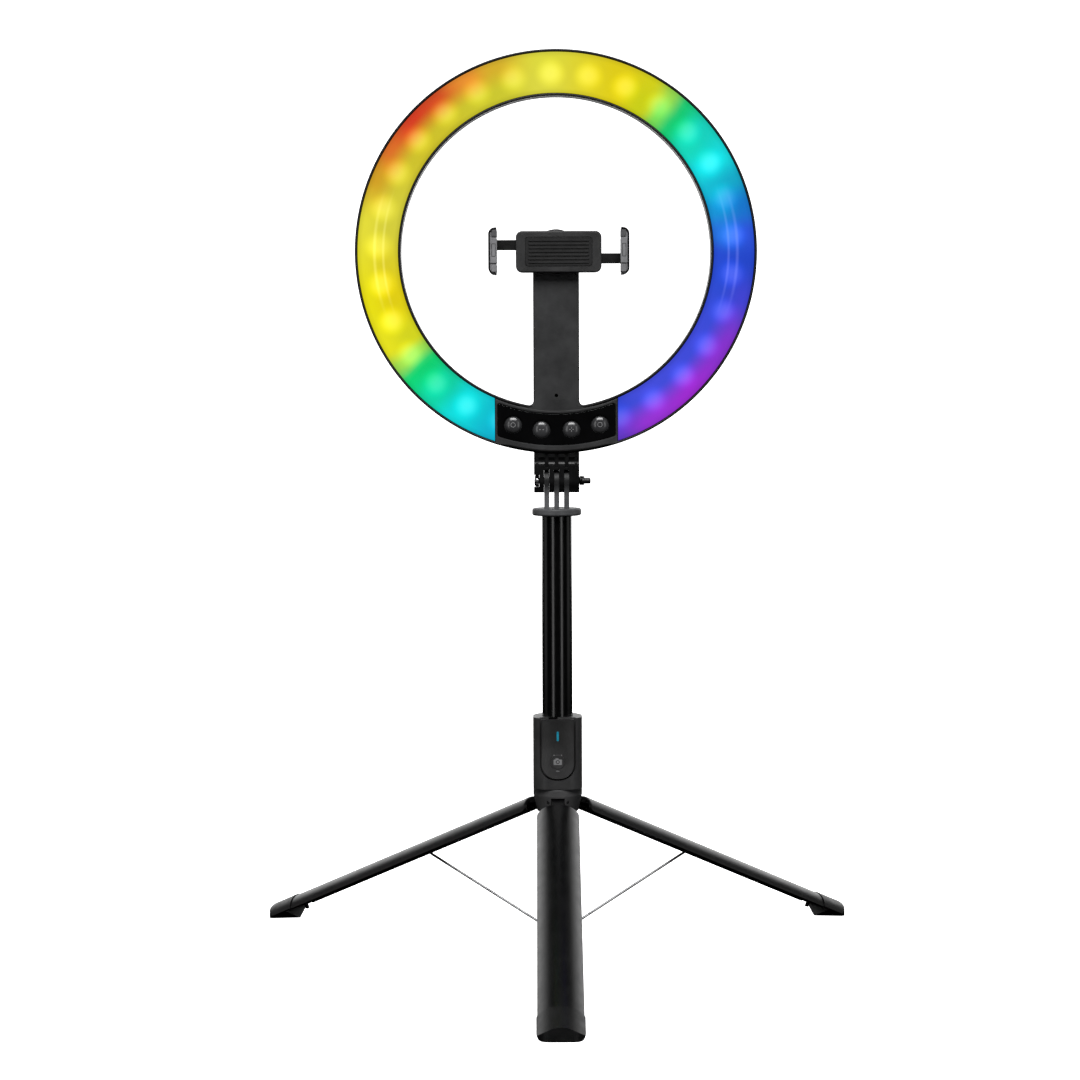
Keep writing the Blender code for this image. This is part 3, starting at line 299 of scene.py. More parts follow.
def make_real(piece):
    bpy.context.view_layer.update()
    graph = bpy.context.evaluated_depsgraph_get()
    mesh = bpy.data.meshes.new_from_object(piece.evaluated_get(graph))
    materials = list(piece.data.materials)
    piece.modifiers.clear()
    piece.data = mesh
    mesh.materials.clear()
    for material in materials:
        mesh.materials.append(material)


def round_edges(piece, width, segments=3, angle=35):
    """A small bevel on every sharp edge, with shading that keeps the flats flat."""
    work = bmesh.new()
    work.from_mesh(piece.data)
    bmesh.ops.remove_doubles(work, verts=work.verts, dist=WELD)
    bmesh.ops.dissolve_degenerate(work, edges=work.edges, dist=WELD)
    work.to_mesh(piece.data)
    work.free()
    bevel = piece.modifiers.new("edges", "BEVEL")
    bevel.width = width
    bevel.segments = segments
    bevel.limit_method = "ANGLE"
    bevel.angle_limit = math.radians(angle)
    bevel.harden_normals = False
    bevel.use_clamp_overlap = True
    make_real(piece)
    return settle(piece, 50)


def unite(piece, *builders):
    return carve(piece, *builders, operation="UNION")


def settle(piece, angle):
    """Smooth shading with sharp edges past an angle."""
    piece.data.shade_smooth()
    piece.data.set_sharp_from_angle(angle=math.radians(angle))
    return even(piece)


def even(piece):
    """Normals weighted by area, so that flat faces stay flat beside small round ones."""
    weighted = piece.modifiers.new("even", "WEIGHTED_NORMAL")
    weighted.keep_sharp = True
    weighted.weight = 80
    return piece


# ---------------------------------------------------------------- materials

def node(tree, kind, **settings):
    made = tree.nodes.new(kind)
    for key, value in settings.items():
        if key.startswith("in_"):
            made.inputs[key[3:].replace("_", " ")].default_value = value
        else:
            setattr(made, key, value)
    return made


def shader_of(name):
    material = bpy.data.materials.new(name)
    material.use_nodes = True
    tree = material.node_tree
    return material, tree, tree.nodes["Principled BSDF"]


def noise(tree, vector, scale, detail=3.0, rough=0.5):
    made = node(tree, "ShaderNodeTexNoise", in_Scale=scale, in_Detail=detail, in_Roughness=rough)
    tree.links.new(vector, made.inputs["Vector"])
    return made.outputs["Fac"]


def spread(tree, value, low, high, low_in=0.35, high_in=0.65):
    made = node(tree, "ShaderNodeMapRange")
    for key, number in (("From Min", low_in), ("From Max", high_in), ("To Min", low), ("To Max", high)):
        made.inputs[key].default_value = number
    tree.links.new(value, made.inputs["Value"])
    return made.outputs["Result"]


def moulded(name, colour, roughness, grain=0.10, grain_size=0.5 * MM, marks=0.06, coat=0.0,
            metallic=0.0, stretch=(1, 1, 1), tone=0.25, specular=0.5, painted_shade_span=None):
    """A surface with fine grain, faint marks in its gloss and slight variation in its tone, and, given a span
    of heights, painted shade that darkens it upwards.
    """
    material, tree, shader = shader_of(name)
    place = node(tree, "ShaderNodeTexCoord").outputs["Object"]
    mapping = node(tree, "ShaderNodeMapping", in_Scale=stretch)
    tree.links.new(place, mapping.inputs["Vector"])
    stretched = mapping.outputs["Vector"]
    cloudy = noise(tree, stretched, 55.0, 5.0, 0.6)
    fine = noise(tree, stretched, 1 / grain_size, 2.0)
    mix = node(tree, "ShaderNodeMix", data_type="RGBA")
    mix.inputs["A"].default_value = (*[c * (1 - tone) for c in colour], 1)
    mix.inputs["B"].default_value = (*[min(1, c * (1 + tone)) for c in colour], 1)
    tree.links.new(spread(tree, cloudy, 0, 1), mix.inputs["Factor"])
    tinted = mix.outputs["Result"]
    # Painted shade: over the given span of heights the colour darkens upwards to 0.12 of itself.
    if painted_shade_span:
        parts = node(tree, "ShaderNodeSeparateXYZ")
        tree.links.new(place, parts.inputs["Vector"])
        painted_shade = node(tree, "ShaderNodeMix", data_type="RGBA")
        painted_shade.inputs["B"].default_value = (*[c * 0.12 for c in colour], 1)
        tree.links.new(spread(tree, parts.outputs["Z"], 0, 1, *painted_shade_span), painted_shade.inputs["Factor"])
        tree.links.new(tinted, painted_shade.inputs["A"])
        tinted = painted_shade.outputs["Result"]
    tree.links.new(tinted, shader.inputs["Base Color"])
    smudge = noise(tree, place, 130.0, 4.0, 0.65)
    rough = spread(tree, smudge, max(0.02, roughness - marks), roughness + marks)
    tree.links.new(rough, shader.inputs["Roughness"])
    bump = node(tree, "ShaderNodeBump", in_Strength=grain, in_Distance=grain_size * 0.2)
    tree.links.new(fine, bump.inputs["Height"])
    tree.links.new(bump.outputs["Normal"], shader.inputs["Normal"])
    shader.inputs["Metallic"].default_value = metallic
    shader.inputs["Coat Weight"].default_value = coat
    shader.inputs["Coat Roughness"].default_value = 0.08
    shader.inputs["Specular IOR Level"].default_value = specular
    return material


BLACK = (0.024, 0.024, 0.0245)
MATERIALS = {
    "satin": moulded("satin_black_plastic", BLACK, 0.42, grain=0.16, marks=0.05, specular=0.4),
    "shell": moulded("bracket_plastic", (0.0035, 0.0035, 0.0037), 0.34, grain=0.12, marks=0.05,
                     specular=0.32),
    "jaw": moulded("jaw_plastic", (0.006, 0.006, 0.0063), 0.36, grain=0.12, marks=0.05, specular=0.35),
    # The remote's cover has painted shade: darker from 112 mm upwards, lighter low down where the floor would
    # light it.
    "remote": moulded("remote_plastic_painted_shade", (0.044, 0.044, 0.0445), 0.42, grain=0.16, marks=0.05, specular=0.4,
                      painted_shade_span=(112 * MM, 160 * MM)),
    "dock": moulded("dock_plastic", (0.036, 0.036, 0.0365), 0.42, grain=0.16, marks=0.05, specular=0.4),
    "leg": moulded("leg_plastic", (0.0018, 0.0018, 0.002), 0.33, grain=0.20, grain_size=0.55 * MM,
                   marks=0.04),
    "hub": moulded("hub_plastic", (0.058, 0.058, 0.059), 0.45, grain=0.20, specular=0.4),
    # A darker copy of the bay's plastic for the frame: painted shade, so the frame's rims read black.
    "grey": moulded("bezel_plastic_painted_shade", (0.012, 0.0121, 0.0124), 0.40, grain=0.14, marks=0.05, specular=0.2),
    "bay": moulded("bay_plastic", (0.034, 0.0343, 0.0352), 0.42, grain=0.14, marks=0.05, specular=0.15),
    # The head's fins have painted shade: darker towards their tops, inside the neck's slots.
    "fin": moulded("head_plastic_painted_shade", (0.070, 0.071, 0.074), 0.50, grain=0.35, grain_size=0.45 * MM, tone=0.4,
                   specular=0.3, painted_shade_span=(294 * MM, 301 * MM)),
    "gloss": moulded("gloss_black_plastic", (0.0028, 0.0028, 0.003), 0.07, grain=0.01, marks=0.03, coat=0.6),
    "dome": moulded("button_plastic", (0.035, 0.035, 0.037), 0.22, grain=0.01, marks=0.04, coat=0.3),
    "tube": moulded("gloss_black_tube", (0.0016, 0.0016, 0.0018), 0.21, grain=0.02, marks=0.02,
                    coat=0.2, stretch=(1, 1, 0.04)),
    "rubber": moulded("grip_rubber", (0.0075, 0.0075, 0.0078), 0.62, grain=0.35, marks=0.08, specular=0.3),
    "foot": moulded("foot_rubber", (0.004, 0.004, 0.0042), 0.42, grain=0.30, marks=0.06),
    "pad": moulded("pad_rubber", (0.19, 0.19, 0.198), 0.60, grain=0.35, marks=0.08),
    "pad_dark": moulded("pad_rubber_dark", (0.070, 0.070, 0.074), 0.60, grain=0.35, marks=0.08),
    "steel": moulded("drawn_steel", (0.62, 0.62, 0.63), 0.30, grain=0.15, metallic=1.0,
                     stretch=(1, 1, 0.05), tone=0.12),
    "blackened": moulded("blackened_steel", (0.05, 0.05, 0.052), 0.35, grain=0.08, metallic=1.0, tone=0.2),
    "strut": moulded("strut_steel", (0.42, 0.42, 0.43), 0.32, grain=0.15, metallic=1.0,
                     stretch=(1, 1, 0.05), tone=0.12),
    "chrome": moulded("polished_chrome", (0.45, 0.45, 0.46), 0.27, grain=0.02, metallic=1.0, tone=0.05),
    "nylon": moulded("natural_nylon", (0.60, 0.60, 0.57), 0.50, grain=0.15, tone=0.08),
    "board": moulded("circuit_board_mask", (0.012, 0.09, 0.035), 0.35, grain=0.1, tone=0.3),
    "opal": moulded("opal_sheet", (0.85, 0.85, 0.83), 0.5, grain=0.1, tone=0.03),
    "print": moulded("printed_grey", (0.21, 0.21, 0.215), 0.55, grain=0.1, tone=0.1),
}


def diffuser_material():
    """Opal plastic lit from behind: colours run round the ring, with a soft spot over each lamp and two faint
    painted reflections of the side lights at left and right.
    """
    material, tree, shader = shader_of("lit_diffuser")
    link = tree.links.new
    place = node(tree, "ShaderNodeTexCoord").outputs["Object"]
    centred = node(tree, "ShaderNodeVectorMath", operation="SUBTRACT")
    link(place, centred.inputs[0])
    centred.inputs[1].default_value = (0, MAST_Y, RING_Z)
    parts = node(tree, "ShaderNodeSeparateXYZ")
    link(centred.outputs["Vector"], parts.inputs["Vector"])

    def maths(kind, *values, clamp=False):
        made = node(tree, "ShaderNodeMath", operation=kind, use_clamp=clamp)
        for socket, value in zip(made.inputs, values):
            if isinstance(value, (int, float)):
                socket.default_value = value
            else:
                link(value, socket)
        return made.outputs["Value"]

    def band(value, edge, width):
        """One where the value is below an edge, fading to nothing over a width."""
        made = node(tree, "ShaderNodeMapRange", interpolation_type="SMOOTHSTEP")
        for key, number in (("From Min", edge), ("From Max", edge + width), ("To Min", 1), ("To Max", 0)):
            made.inputs[key].default_value = number
        link(value, made.inputs["Value"])
        return made.outputs["Result"]

    angle = maths("ARCTAN2", parts.outputs["X"], parts.outputs["Z"])
    radius = maths("POWER", maths("ADD", maths("MULTIPLY", parts.outputs["X"], parts.outputs["X"]),
                                  maths("MULTIPLY", parts.outputs["Z"], parts.outputs["Z"])), 0.5)
    wander = maths("MULTIPLY", maths("SUBTRACT", noise(tree, place, 28.0, 2.0), 0.5), 0.10)
    turn = maths("ADD", maths("DIVIDE", maths("ADD", angle, wander), 2 * math.pi), 0.5)
    ramps = []
    for stops in (INNER_COLOURS, OUTER_COLOURS):
        ramp = node(tree, "ShaderNodeValToRGB")
        ramp.color_ramp.interpolation = "EASE"
        elements = ramp.color_ramp.elements
        while len(elements) < len(stops):
            elements.new(0.5)
        for element, (degrees, colour) in zip(elements, stops):
            element.position = degrees / 360 + 0.5
            element.color = (*[(c / 255) ** 2.2 for c in colour], 1)
        link(turn, ramp.inputs["Fac"])
        ramps.append(ramp.outputs["Color"])
    across = node(tree, "ShaderNodeMapRange", interpolation_type="SMOOTHSTEP")
    across.inputs["From Min"].default_value = 106 * MM
    across.inputs["From Max"].default_value = 122 * MM
    link(radius, across.inputs["Value"])
    both = node(tree, "ShaderNodeMix", data_type="RGBA")
    link(across.outputs["Result"], both.inputs["Factor"])
    link(ramps[0], both.inputs["A"])
    link(ramps[1], both.inputs["B"])

    pitch = LED_SPAN / (LED_COUNT - 1)
    phase = maths("PINGPONG", maths("ADD", angle, LED_SPAN / 2 - LED_SHIFT), pitch / 2)
    along = maths("MULTIPLY", phase, radius)
    out = maths("SUBTRACT", radius, LED_RING)
    apart = maths("POWER", maths("ADD", maths("MULTIPLY", along, along), maths("MULTIPLY", out, out)), 0.5)
    spot = band(apart, 2.0 * MM, 9.5 * MM)
    core = band(apart, 0.5 * MM, 8.0 * MM)
    patch = maths("ADD", maths("MULTIPLY", noise(tree, place, 34.0, 1.0), 0.9), 0.45)
    spot = maths("MULTIPLY", spot, patch)
    core = maths("MULTIPLY", core, patch)

    # Painted reflections of the side lights: faint light arcs at the radii below, kept to the ring's left and
    # right sides, also whitening the colour.
    reflection_sides = band(maths("ABSOLUTE", parts.outputs["Z"]), 10 * MM, 34 * MM)
    painted_reflections = 0.0
    for middle, width in REFLECTION_ARCS:
        painted_arc = band(maths("ABSOLUTE", maths("SUBTRACT", radius, middle)), 0.0, width)
        painted_reflections = maths("ADD", painted_arc, painted_reflections)
    painted_reflections = maths("MULTIPLY", maths("MULTIPLY", painted_reflections, reflection_sides), 0.16)

    rim = maths("ADD", band(radius, DIFFUSER_INNER, 3.2 * MM),
                maths("SUBTRACT", 1.0, band(radius, DIFFUSER_OUTER - 3.6 * MM, 3.6 * MM)))
    level = maths("ADD", maths("MULTIPLY", spot, 0.42), 0.93)
    level = maths("SUBTRACT", maths("ADD", level, painted_reflections), maths("MULTIPLY", rim, 0.14))
    lit = node(tree, "ShaderNodeVectorMath", operation="SCALE")
    link(both.outputs["Result"], lit.inputs[0])
    link(level, lit.inputs["Scale"])
    whiten = node(tree, "ShaderNodeMix", data_type="RGBA")
    whiten.inputs["B"].default_value = (1, 1, 1, 1)
    link(maths("ADD", maths("MULTIPLY", core, 0.045), maths("MULTIPLY", painted_reflections, 0.35)),
         whiten.inputs["Factor"])
    link(lit.outputs["Vector"], whiten.inputs["A"])
    link(whiten.outputs["Result"], shader.inputs["Emission Color"])
    shader.inputs["Emission Strength"].default_value = 1.0
    shader.inputs["Base Color"].default_value = (0.004, 0.004, 0.004, 1)
    shader.inputs["Specular IOR Level"].default_value = 0.12
    frost = noise(tree, place, 2200.0, 2.0)
    link(spread(tree, frost, 0.32, 0.46), shader.inputs["Roughness"])
    bump = node(tree, "ShaderNodeBump", in_Strength=0.06, in_Distance=0.05 * MM)
    link(frost, bump.inputs["Height"])
    link(bump.outputs["Normal"], shader.inputs["Normal"])
    return material


DIFFUSER_INNER = 99.8 * MM
DIFFUSER_OUTER = 125.2 * MM
LED_COUNT = 25
LED_RING = 112.0 * MM
LED_SPAN = math.radians(296)
# Radii and widths of the painted reflection arcs on the diffuser.
REFLECTION_ARCS = ((109.0 * MM, 1.3 * MM), (114.5 * MM, 1.6 * MM))
LED_SHIFT = math.radians(-1.5)
INNER_COLOURS = (
    (-160, (0, 190, 210)), (-148, (5, 220, 220)), (-140, (0, 210, 160)), (-130, (0, 212, 112)),
    (-126, (150, 220, 80)), (-121, (215, 218, 30)), (-104, (230, 210, 5)), (-80, (217, 210, 60)),
    (-50, (210, 196, 40)), (-20, (208, 204, 45)), (-4, (225, 220, 65)), (20, (230, 212, 5)),
    (31, (205, 212, 10)), (37, (120, 222, 85)), (43, (0, 208, 115)), (52, (5, 222, 190)),
    (60, (5, 225, 230)), (68, (0, 190, 216)), (76, (12, 152, 220)), (84, (38, 115, 228)),
    (92, (38, 76, 214)), (124, (64, 76, 222)), (150, (68, 78, 224)), (160, (46, 70, 208)),
)
OUTER_COLOURS = (
    (-160, (0, 180, 210)), (-148, (5, 226, 226)), (-140, (0, 220, 170)), (-130, (0, 220, 118)),
    (-126, (160, 225, 80)), (-121, (236, 232, 30)), (-104, (238, 228, 10)), (-80, (234, 226, 58)),
    (-68, (214, 162, 34)), (-58, (226, 112, 38)), (-46, (218, 60, 30)), (-38, (214, 76, 30)),
    (-28, (238, 146, 46)), (-18, (218, 178, 40)), (-4, (226, 222, 60)), (20, (228, 208, 5)),
    (31, (214, 212, 10)), (37, (150, 218, 76)), (43, (0, 204, 114)), (52, (0, 212, 192)),
    (60, (0, 224, 228)), (68, (0, 172, 204)), (76, (14, 118, 208)), (84, (44, 84, 222)),
    (92, (34, 70, 204)), (104, (66, 68, 214)), (120, (136, 50, 208)), (136, (160, 44, 212)),
    (150, (152, 52, 216)), (160, (100, 58, 200)),
)
MATERIALS["diffuser"] = diffuser_material()

# ---------------------------------------------------------------- ring head

RING_RADIUS = span("ring_front_frame", 0)[1]
RING_BACK, RING_FRONT = front_of("ring_rear_cover")[0], front_of("ring_front_frame")[1]
PART_LINE = 0.15 * MM
HOLE_RADIUS = 98.0 * MM
RIM_WALL = 1.5 * MM
RIM_ROUND = 0.5 * MM
INNER_LIP = HOLE_RADIUS + RIM_WALL
OUTER_LIP = RING_RADIUS - RIM_WALL
TRAY_FLOOR = 1.6 * MM
DIFFUSER_CUT = 39.1 * MM
PANEL_HALF_WIDTH = 37.3 * MM
PANEL_INNER = 102.3 * MM
PANEL_OUTER = 121.5 * MM
PANEL_ROOM = 0.25 * MM
PANEL_CORNER = 1.6 * MM
PANEL_TOP = 7.7 * MM
BAY_TOP = RING_FRONT - 0.2 * MM
BAY_ROOF = 5.6 * MM
STEM_HALF_WIDTH = 14.6 * MM
STEM_FRONT = 7.6 * MM
STEM_BACK = -3.5 * MM
STEM_FILLET = 2.9 * MM
STEM_EDGE = 1.7 * MM
STEM_ROOT = 6.0 * MM
STEM_NOTCH = 17.4 * MM
BAY_INNER = 99.9 * MM
BAY_LIP = 0.6 * MM
BAY_ROUND = 3.6 * MM
SEAT_LIP = 0.7 * MM
SWIVEL_BORE = 4.3 * MM
EYELET_RADIUS = 1.15 * MM
EYELET_Y = -90.3 * MM
BUTTON_RADIUS = 5.35 * MM
BUTTON_TOP = 8.5 * MM
BUTTON_SAG = 2.1 * MM
NECK_SCREWS = [(side * 8 * MM, 333 * MM - RING_Z) for side in (-1, 1)]
INLET_PLACE = (24 * MM, -108 * MM)
RING_STEPS = 192
RECESS_RING = 117.5 * MM


def band_below(inner, outer, half_width, corner=0.0, steps=41):
    down = -math.pi / 2
    wide = math.asin(half_width / inner)
    narrow = math.asin(half_width / outer)
    outer_arc = arc((0, 0), outer, down - narrow, down + narrow, steps)
    inner_arc = arc((0, 0), inner, down + wide, down - wide, steps)
    outline = outer_arc + inner_arc
    if not corner:
        return outline
    ends = [outline[index] for index in (0, steps - 1, steps, 2 * steps - 1)]
    kept = [point for point in outline
            if point in ends or min(math.dist(point, end) for end in ends) > 2 * corner]
    return rounded_fillet(kept, [corner if point in ends else 0.0 for point in kept])


def band_above(inner, outer, half_width, steps=RING_STEPS):
    down = -math.pi / 2
    wide = math.asin(half_width / inner)
    narrow = math.asin(half_width / outer)
    outer_arc = arc((0, 0), outer, down + narrow, down + 2 * math.pi - narrow, steps)
    inner_arc = arc((0, 0), inner, down + 2 * math.pi - wide, down + wide, steps)
    return outer_arc + inner_arc


def lathe(profile, steps, matrix, closed=True):
    """A build function for a turned shape; one that isn't closed starts and ends on the axis."""
    return lambda work: add_lathe(work, profile, steps, matrix, closed)


def bar(radius, low, high, matrix, steps=32, edge=0.0):
    """A build function for a round bar along local Z."""
    profile = [(0, high), (radius, high), (radius, low), (0, low)]
    return lathe(soften(profile, edge, closed=False) if edge else profile, steps, matrix, False)


def slab(outline, low, high, matrix, bevel=0.0, low_bevel=None, steps=4):
    """A build function for a flat outline with a thickness."""
    return lambda work: add_prism(work, outline, low, high, matrix, bevel, low_bevel, steps)


def block(low, high, matrix=STAND):
    outline = [(low[0], low[1]), (high[0], low[1]), (high[0], high[1]), (low[0], high[1])]
    return slab(outline, low[2], high[2], matrix)


def at(x, y, matrix=RING):
    return matrix @ Matrix.Translation((x, y, 0))


def stem_outline():
    """The clamp's stem, flaring with small fillets where it leaves the ring."""
    reach = HOLE_RADIUS + 0.1 * MM
    wide = 24 * MM
    down = -math.pi / 2
    right = arc((0, 0), reach, down + math.asin(wide / reach), down + math.asin(18.5 * MM / reach), 5)
    corner_y = -math.sqrt(reach ** 2 - STEM_HALF_WIDTH ** 2)
    outline = [(wide, -HOLE_RADIUS - STEM_ROOT)] + right + [(STEM_HALF_WIDTH, corner_y)]
    radii = [0.0] * 6 + [STEM_FILLET]
    outline += arc((0, 0), STEM_HALF_WIDTH, 0, math.pi, 41)
    radii += [0.0] * 41
    outline += [(-STEM_HALF_WIDTH, corner_y)] + [(-x, y) for x, y in reversed(right)]
    outline += [(-wide, -HOLE_RADIUS - STEM_ROOT)]
    radii += [STEM_FILLET] + [0.0] * 6
    return rounded_fillet(outline, radii)


def round_outer_edge(work):
    """The tool that rounds the ring's outer edge under the buttons, fading out at both ends."""
    half_count = 24
    least = RIM_ROUND + 0.02 * MM
    swing = math.asin(DIFFUSER_CUT / RING_RADIUS)
    sections = []
    for step in range(-half_count, half_count + 1):
        share = min(1.0, (half_count - abs(step)) / 6)
        size = least + (BAY_ROUND - least) * share * share * (3 - 2 * share)
        section = arc((RING_RADIUS - size, RING_FRONT - size), size, 0, math.pi / 2, 11)
        section += [(RING_RADIUS - size, RING_FRONT + 1 * MM), (RING_RADIUS + 1 * MM, RING_FRONT + 1 * MM),
                    (RING_RADIUS + 1 * MM, RING_FRONT - size)]
        angle = -math.pi / 2 + swing * step / half_count
        sections.append([RING @ Vector((r * math.cos(angle), r * math.sin(angle), z)) for r, z in section])
    loft(work, sections)


def make_frame():
    profile = [
        (RING_RADIUS, RING_FRONT), (RING_RADIUS, PART_LINE), (HOLE_RADIUS, PART_LINE),
        (HOLE_RADIUS, RING_FRONT), (INNER_LIP, RING_FRONT), (INNER_LIP, TRAY_FLOOR),
        (OUTER_LIP, TRAY_FLOOR), (OUTER_LIP, RING_FRONT),
    ]
    rim = soften(profile, RIM_ROUND, steps=4)
    # The frame wears the darker copy of the bay's plastic: painted shade on its rims.
    rim_look = new_piece("ring_frame", lathe(rim, RING_STEPS, RING),
                         MATERIALS["grey"], "ring_head", "ring_front_frame")
    notch = block((-STEM_NOTCH, -BAY_INNER, STEM_FRONT - 0.05 * MM),
                  (STEM_NOTCH, -HOLE_RADIUS + 4 * MM, RING_FRONT + 1 * MM), RING)
    carve(rim_look, round_outer_edge, notch)
    settle(rim_look, 32)


def make_bay():
    """The stem and the border round the panel, one piece moulded with the frame."""
    outline = band_below(BAY_INNER, OUTER_LIP + 0.75 * MM, DIFFUSER_CUT - GAP)
    bay = new_piece("bay_border", slab(outline, PART_LINE + 0.4 * MM, BAY_TOP, RING, BAY_LIP),
                    MATERIALS["bay"], "ring_head", ())
    unite(bay, slab(stem_outline(), PART_LINE + 0.02 * MM, STEM_FRONT, RING, STEM_EDGE))

    def panel_seat(room):
        return band_below(PANEL_INNER - room, PANEL_OUTER + room, PANEL_HALF_WIDTH + room,
                          PANEL_CORNER - PANEL_ROOM + room)
    cavity = band_below(INNER_LIP + 1.2 * MM, OUTER_LIP - 1.2 * MM, PANEL_HALF_WIDTH + GAP)
    carve(bay, slab(panel_seat(PANEL_ROOM), 5.0 * MM, 9 * MM, RING),
          slab(cavity, TRAY_FLOOR + 0.1 * MM, BAY_ROOF, RING),
          slab(panel_seat(PANEL_ROOM + SEAT_LIP), BAY_TOP - SEAT_LIP, BAY_TOP + 1 * MM, RING,
               low_bevel=SEAT_LIP, steps=1),
          bar(SWIVEL_BORE, -10 * MM, 10 * MM, RING),
          bar(EYELET_RADIUS, 4 * MM, 10 * MM, at(0, EYELET_Y), 24), round_outer_edge)
    settle(bay, 32)


def make_panel():
    outline = band_above(DIFFUSER_INNER, DIFFUSER_OUTER, DIFFUSER_CUT)
    even(new_piece("diffuser_face", slab(outline, 6.2 * MM, PANEL_TOP, RING, 0.45 * MM),
                   MATERIALS["diffuser"], "ring_head", "ring_diffuser"))
    outline = band_below(PANEL_INNER, PANEL_OUTER, PANEL_HALF_WIDTH, 1.4 * MM)
    panel = new_piece("panel_face", slab(outline, 6.0 * MM, PANEL_TOP, RING, 0.05 * MM),
                      MATERIALS["gloss"], "ring_head", "control_panel")
    for number in (1, 2, 3, 4):
        low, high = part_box(f"button_{number}")
        here = at((low.x + high.x) / 2, (low.z + high.z) / 2 - RING_Z)
        carve(panel, bar(BUTTON_RADIUS + 0.28 * MM, 5 * MM, 9 * MM, here, 64),
              bar(BUTTON_RADIUS + 1.0 * MM, PANEL_TOP - 0.35 * MM, 9 * MM, here, 64))
        make_button(number, here)
    even(panel)


def make_button(number, here):
    skirt = BUTTON_RADIUS + 0.75 * MM
    turns = [math.pi / 2 * step / 18 for step in range(1, 19)]
    dome = [(0, BUTTON_TOP)]
    dome += [(BUTTON_RADIUS * math.sin(a), BUTTON_TOP - BUTTON_SAG * (1 - math.cos(a))) for a in turns]
    dome += [(BUTTON_RADIUS, 6.35 * MM), (skirt, 6.35 * MM), (skirt, 5.75 * MM), (0, 5.75 * MM)]
    name = f"button_{number}"
    even(new_piece(f"push_{name}", lathe(dome, 48, here, False), MATERIALS["dome"], name, name,
                   50))
    even(new_piece(f"button_mark_{number}", button_mark(number, here), MATERIALS["print"], name, ()))


def button_mark(number, matrix):
    """A generic raised sign on a button: a ring, a minus, a plus and a ring."""
    top = BUTTON_TOP - 0.01 * MM
    low = BUTTON_TOP - 0.4 * MM
    dash = rounded_box(1.5 * MM, 0.2 * MM, 0.18 * MM, 4)

    def build(work):
        if number in (1, 4):
            profile = [(1.25 * MM, low), (1.6 * MM, low), (1.6 * MM, top), (1.25 * MM, top)]
            add_lathe(work, profile, 32, matrix)
        else:
            add_prism(work, dash, low, top, matrix)
        if number == 3:
            add_prism(work, dash, low, top - 0.005 * MM, matrix @ QUARTER_Z)
    return build


def make_ring_back():
    back = RING_BACK
    profile = [
        (RING_RADIUS, -PART_LINE), (RING_RADIUS, back), (HOLE_RADIUS, back), (HOLE_RADIUS, -PART_LINE),
        (HOLE_RADIUS + RIM_WALL, -PART_LINE), (HOLE_RADIUS + RIM_WALL, back + RIM_WALL),
        (RING_RADIUS - RIM_WALL, back + RIM_WALL), (RING_RADIUS - RIM_WALL, -PART_LINE),
    ]
    sizes = {1: 2.6 * MM, 2: 2.6 * MM}
    shaped = []
    for index, point in enumerate(profile):
        if index in sizes:
            before, after = profile[index - 1], profile[index + 1]
            shaped += soften([before, point, after], sizes[index], 7, closed=False)[1:-1]
        else:
            shaped.append(point)
    cover = new_piece("ring_back", lathe(shaped, RING_STEPS, RING),
                      MATERIALS["satin"], "ring_head", "ring_rear_cover")
    unite(cover, slab(stem_outline(), STEM_BACK, -PART_LINE - 0.02 * MM, RING, 0.0))
    groove = [(111.4 * MM, back + 0.5 * MM), (112.6 * MM, back + 0.5 * MM), (112.6 * MM, back - 1 * MM),
              (111.4 * MM, back - 1 * MM)]
    tools = [bar(SWIVEL_BORE, -10 * MM, 10 * MM, RING), lathe(groove, 128, RING)]
    for x, y in NECK_SCREWS:
        tools.append(bar(1.8 * MM, -12 * MM, -2 * MM, at(x, y), 24))
    tools.append(slab(rounded_box(4.8 * MM, 1.9 * MM, 1.85 * MM), -12 * MM, -2 * MM, at(*INLET_PLACE)))
    places = [math.radians(angle) for angle in (0, 51, 102, 153, 207, 258, 309)]
    for angle in places:
        here = at(RECESS_RING * math.sin(angle), RECESS_RING * math.cos(angle))
        tools.append(bar(2.5 * MM, back - 1 * MM, back + 1.1 * MM, here, 32))
    carve(cover, *tools)
    round_edges(cover, 0.15 * MM, 2)
    head = [(0, back + 0.35 * MM), (1.5 * MM, back + 0.35 * MM), (2.0 * MM, back + 0.7 * MM),
            (2.0 * MM, back + 1.25 * MM), (0, back + 1.25 * MM)]

    def screws(work):
        for angle in places:
            here = at(RECESS_RING * math.sin(angle), RECESS_RING * math.cos(angle))
            add_lathe(work, head, 24, here, closed=False)
    even(new_piece("rear_screws", screws, MATERIALS["steel"], "ring_head", ()))


# ---------------------------------------------------------------- neck, head and mast

NECK_HALF_WIDTH = span("neck_bracket", 0)[1]
NECK_TOP = span("neck_bracket", 2)[1]
NECK_ROUND = TILT_Z - span("neck_bracket", 2)[0]
NECK_DROP = 7.6 * MM
NECK_BACK = span("neck_bracket", 1)[1] - MAST_Y
FIN_PITCH = 6.35 * MM
FIN_HALF = 1.62 * MM
FIN_RADIUS = 7.0 * MM
FLANGE_BOTTOM = 281.6 * MM
FLANGE_TOP = 286.3 * MM
STAND_RADIUS = span("mast_head", 0)[1]
SCREW_BORE = 2.3 * MM
RIB_GROOVE = 1.25 * MM
RIB_LENGTH = 12 * MM
RIB_RISE = 13.2 * MM


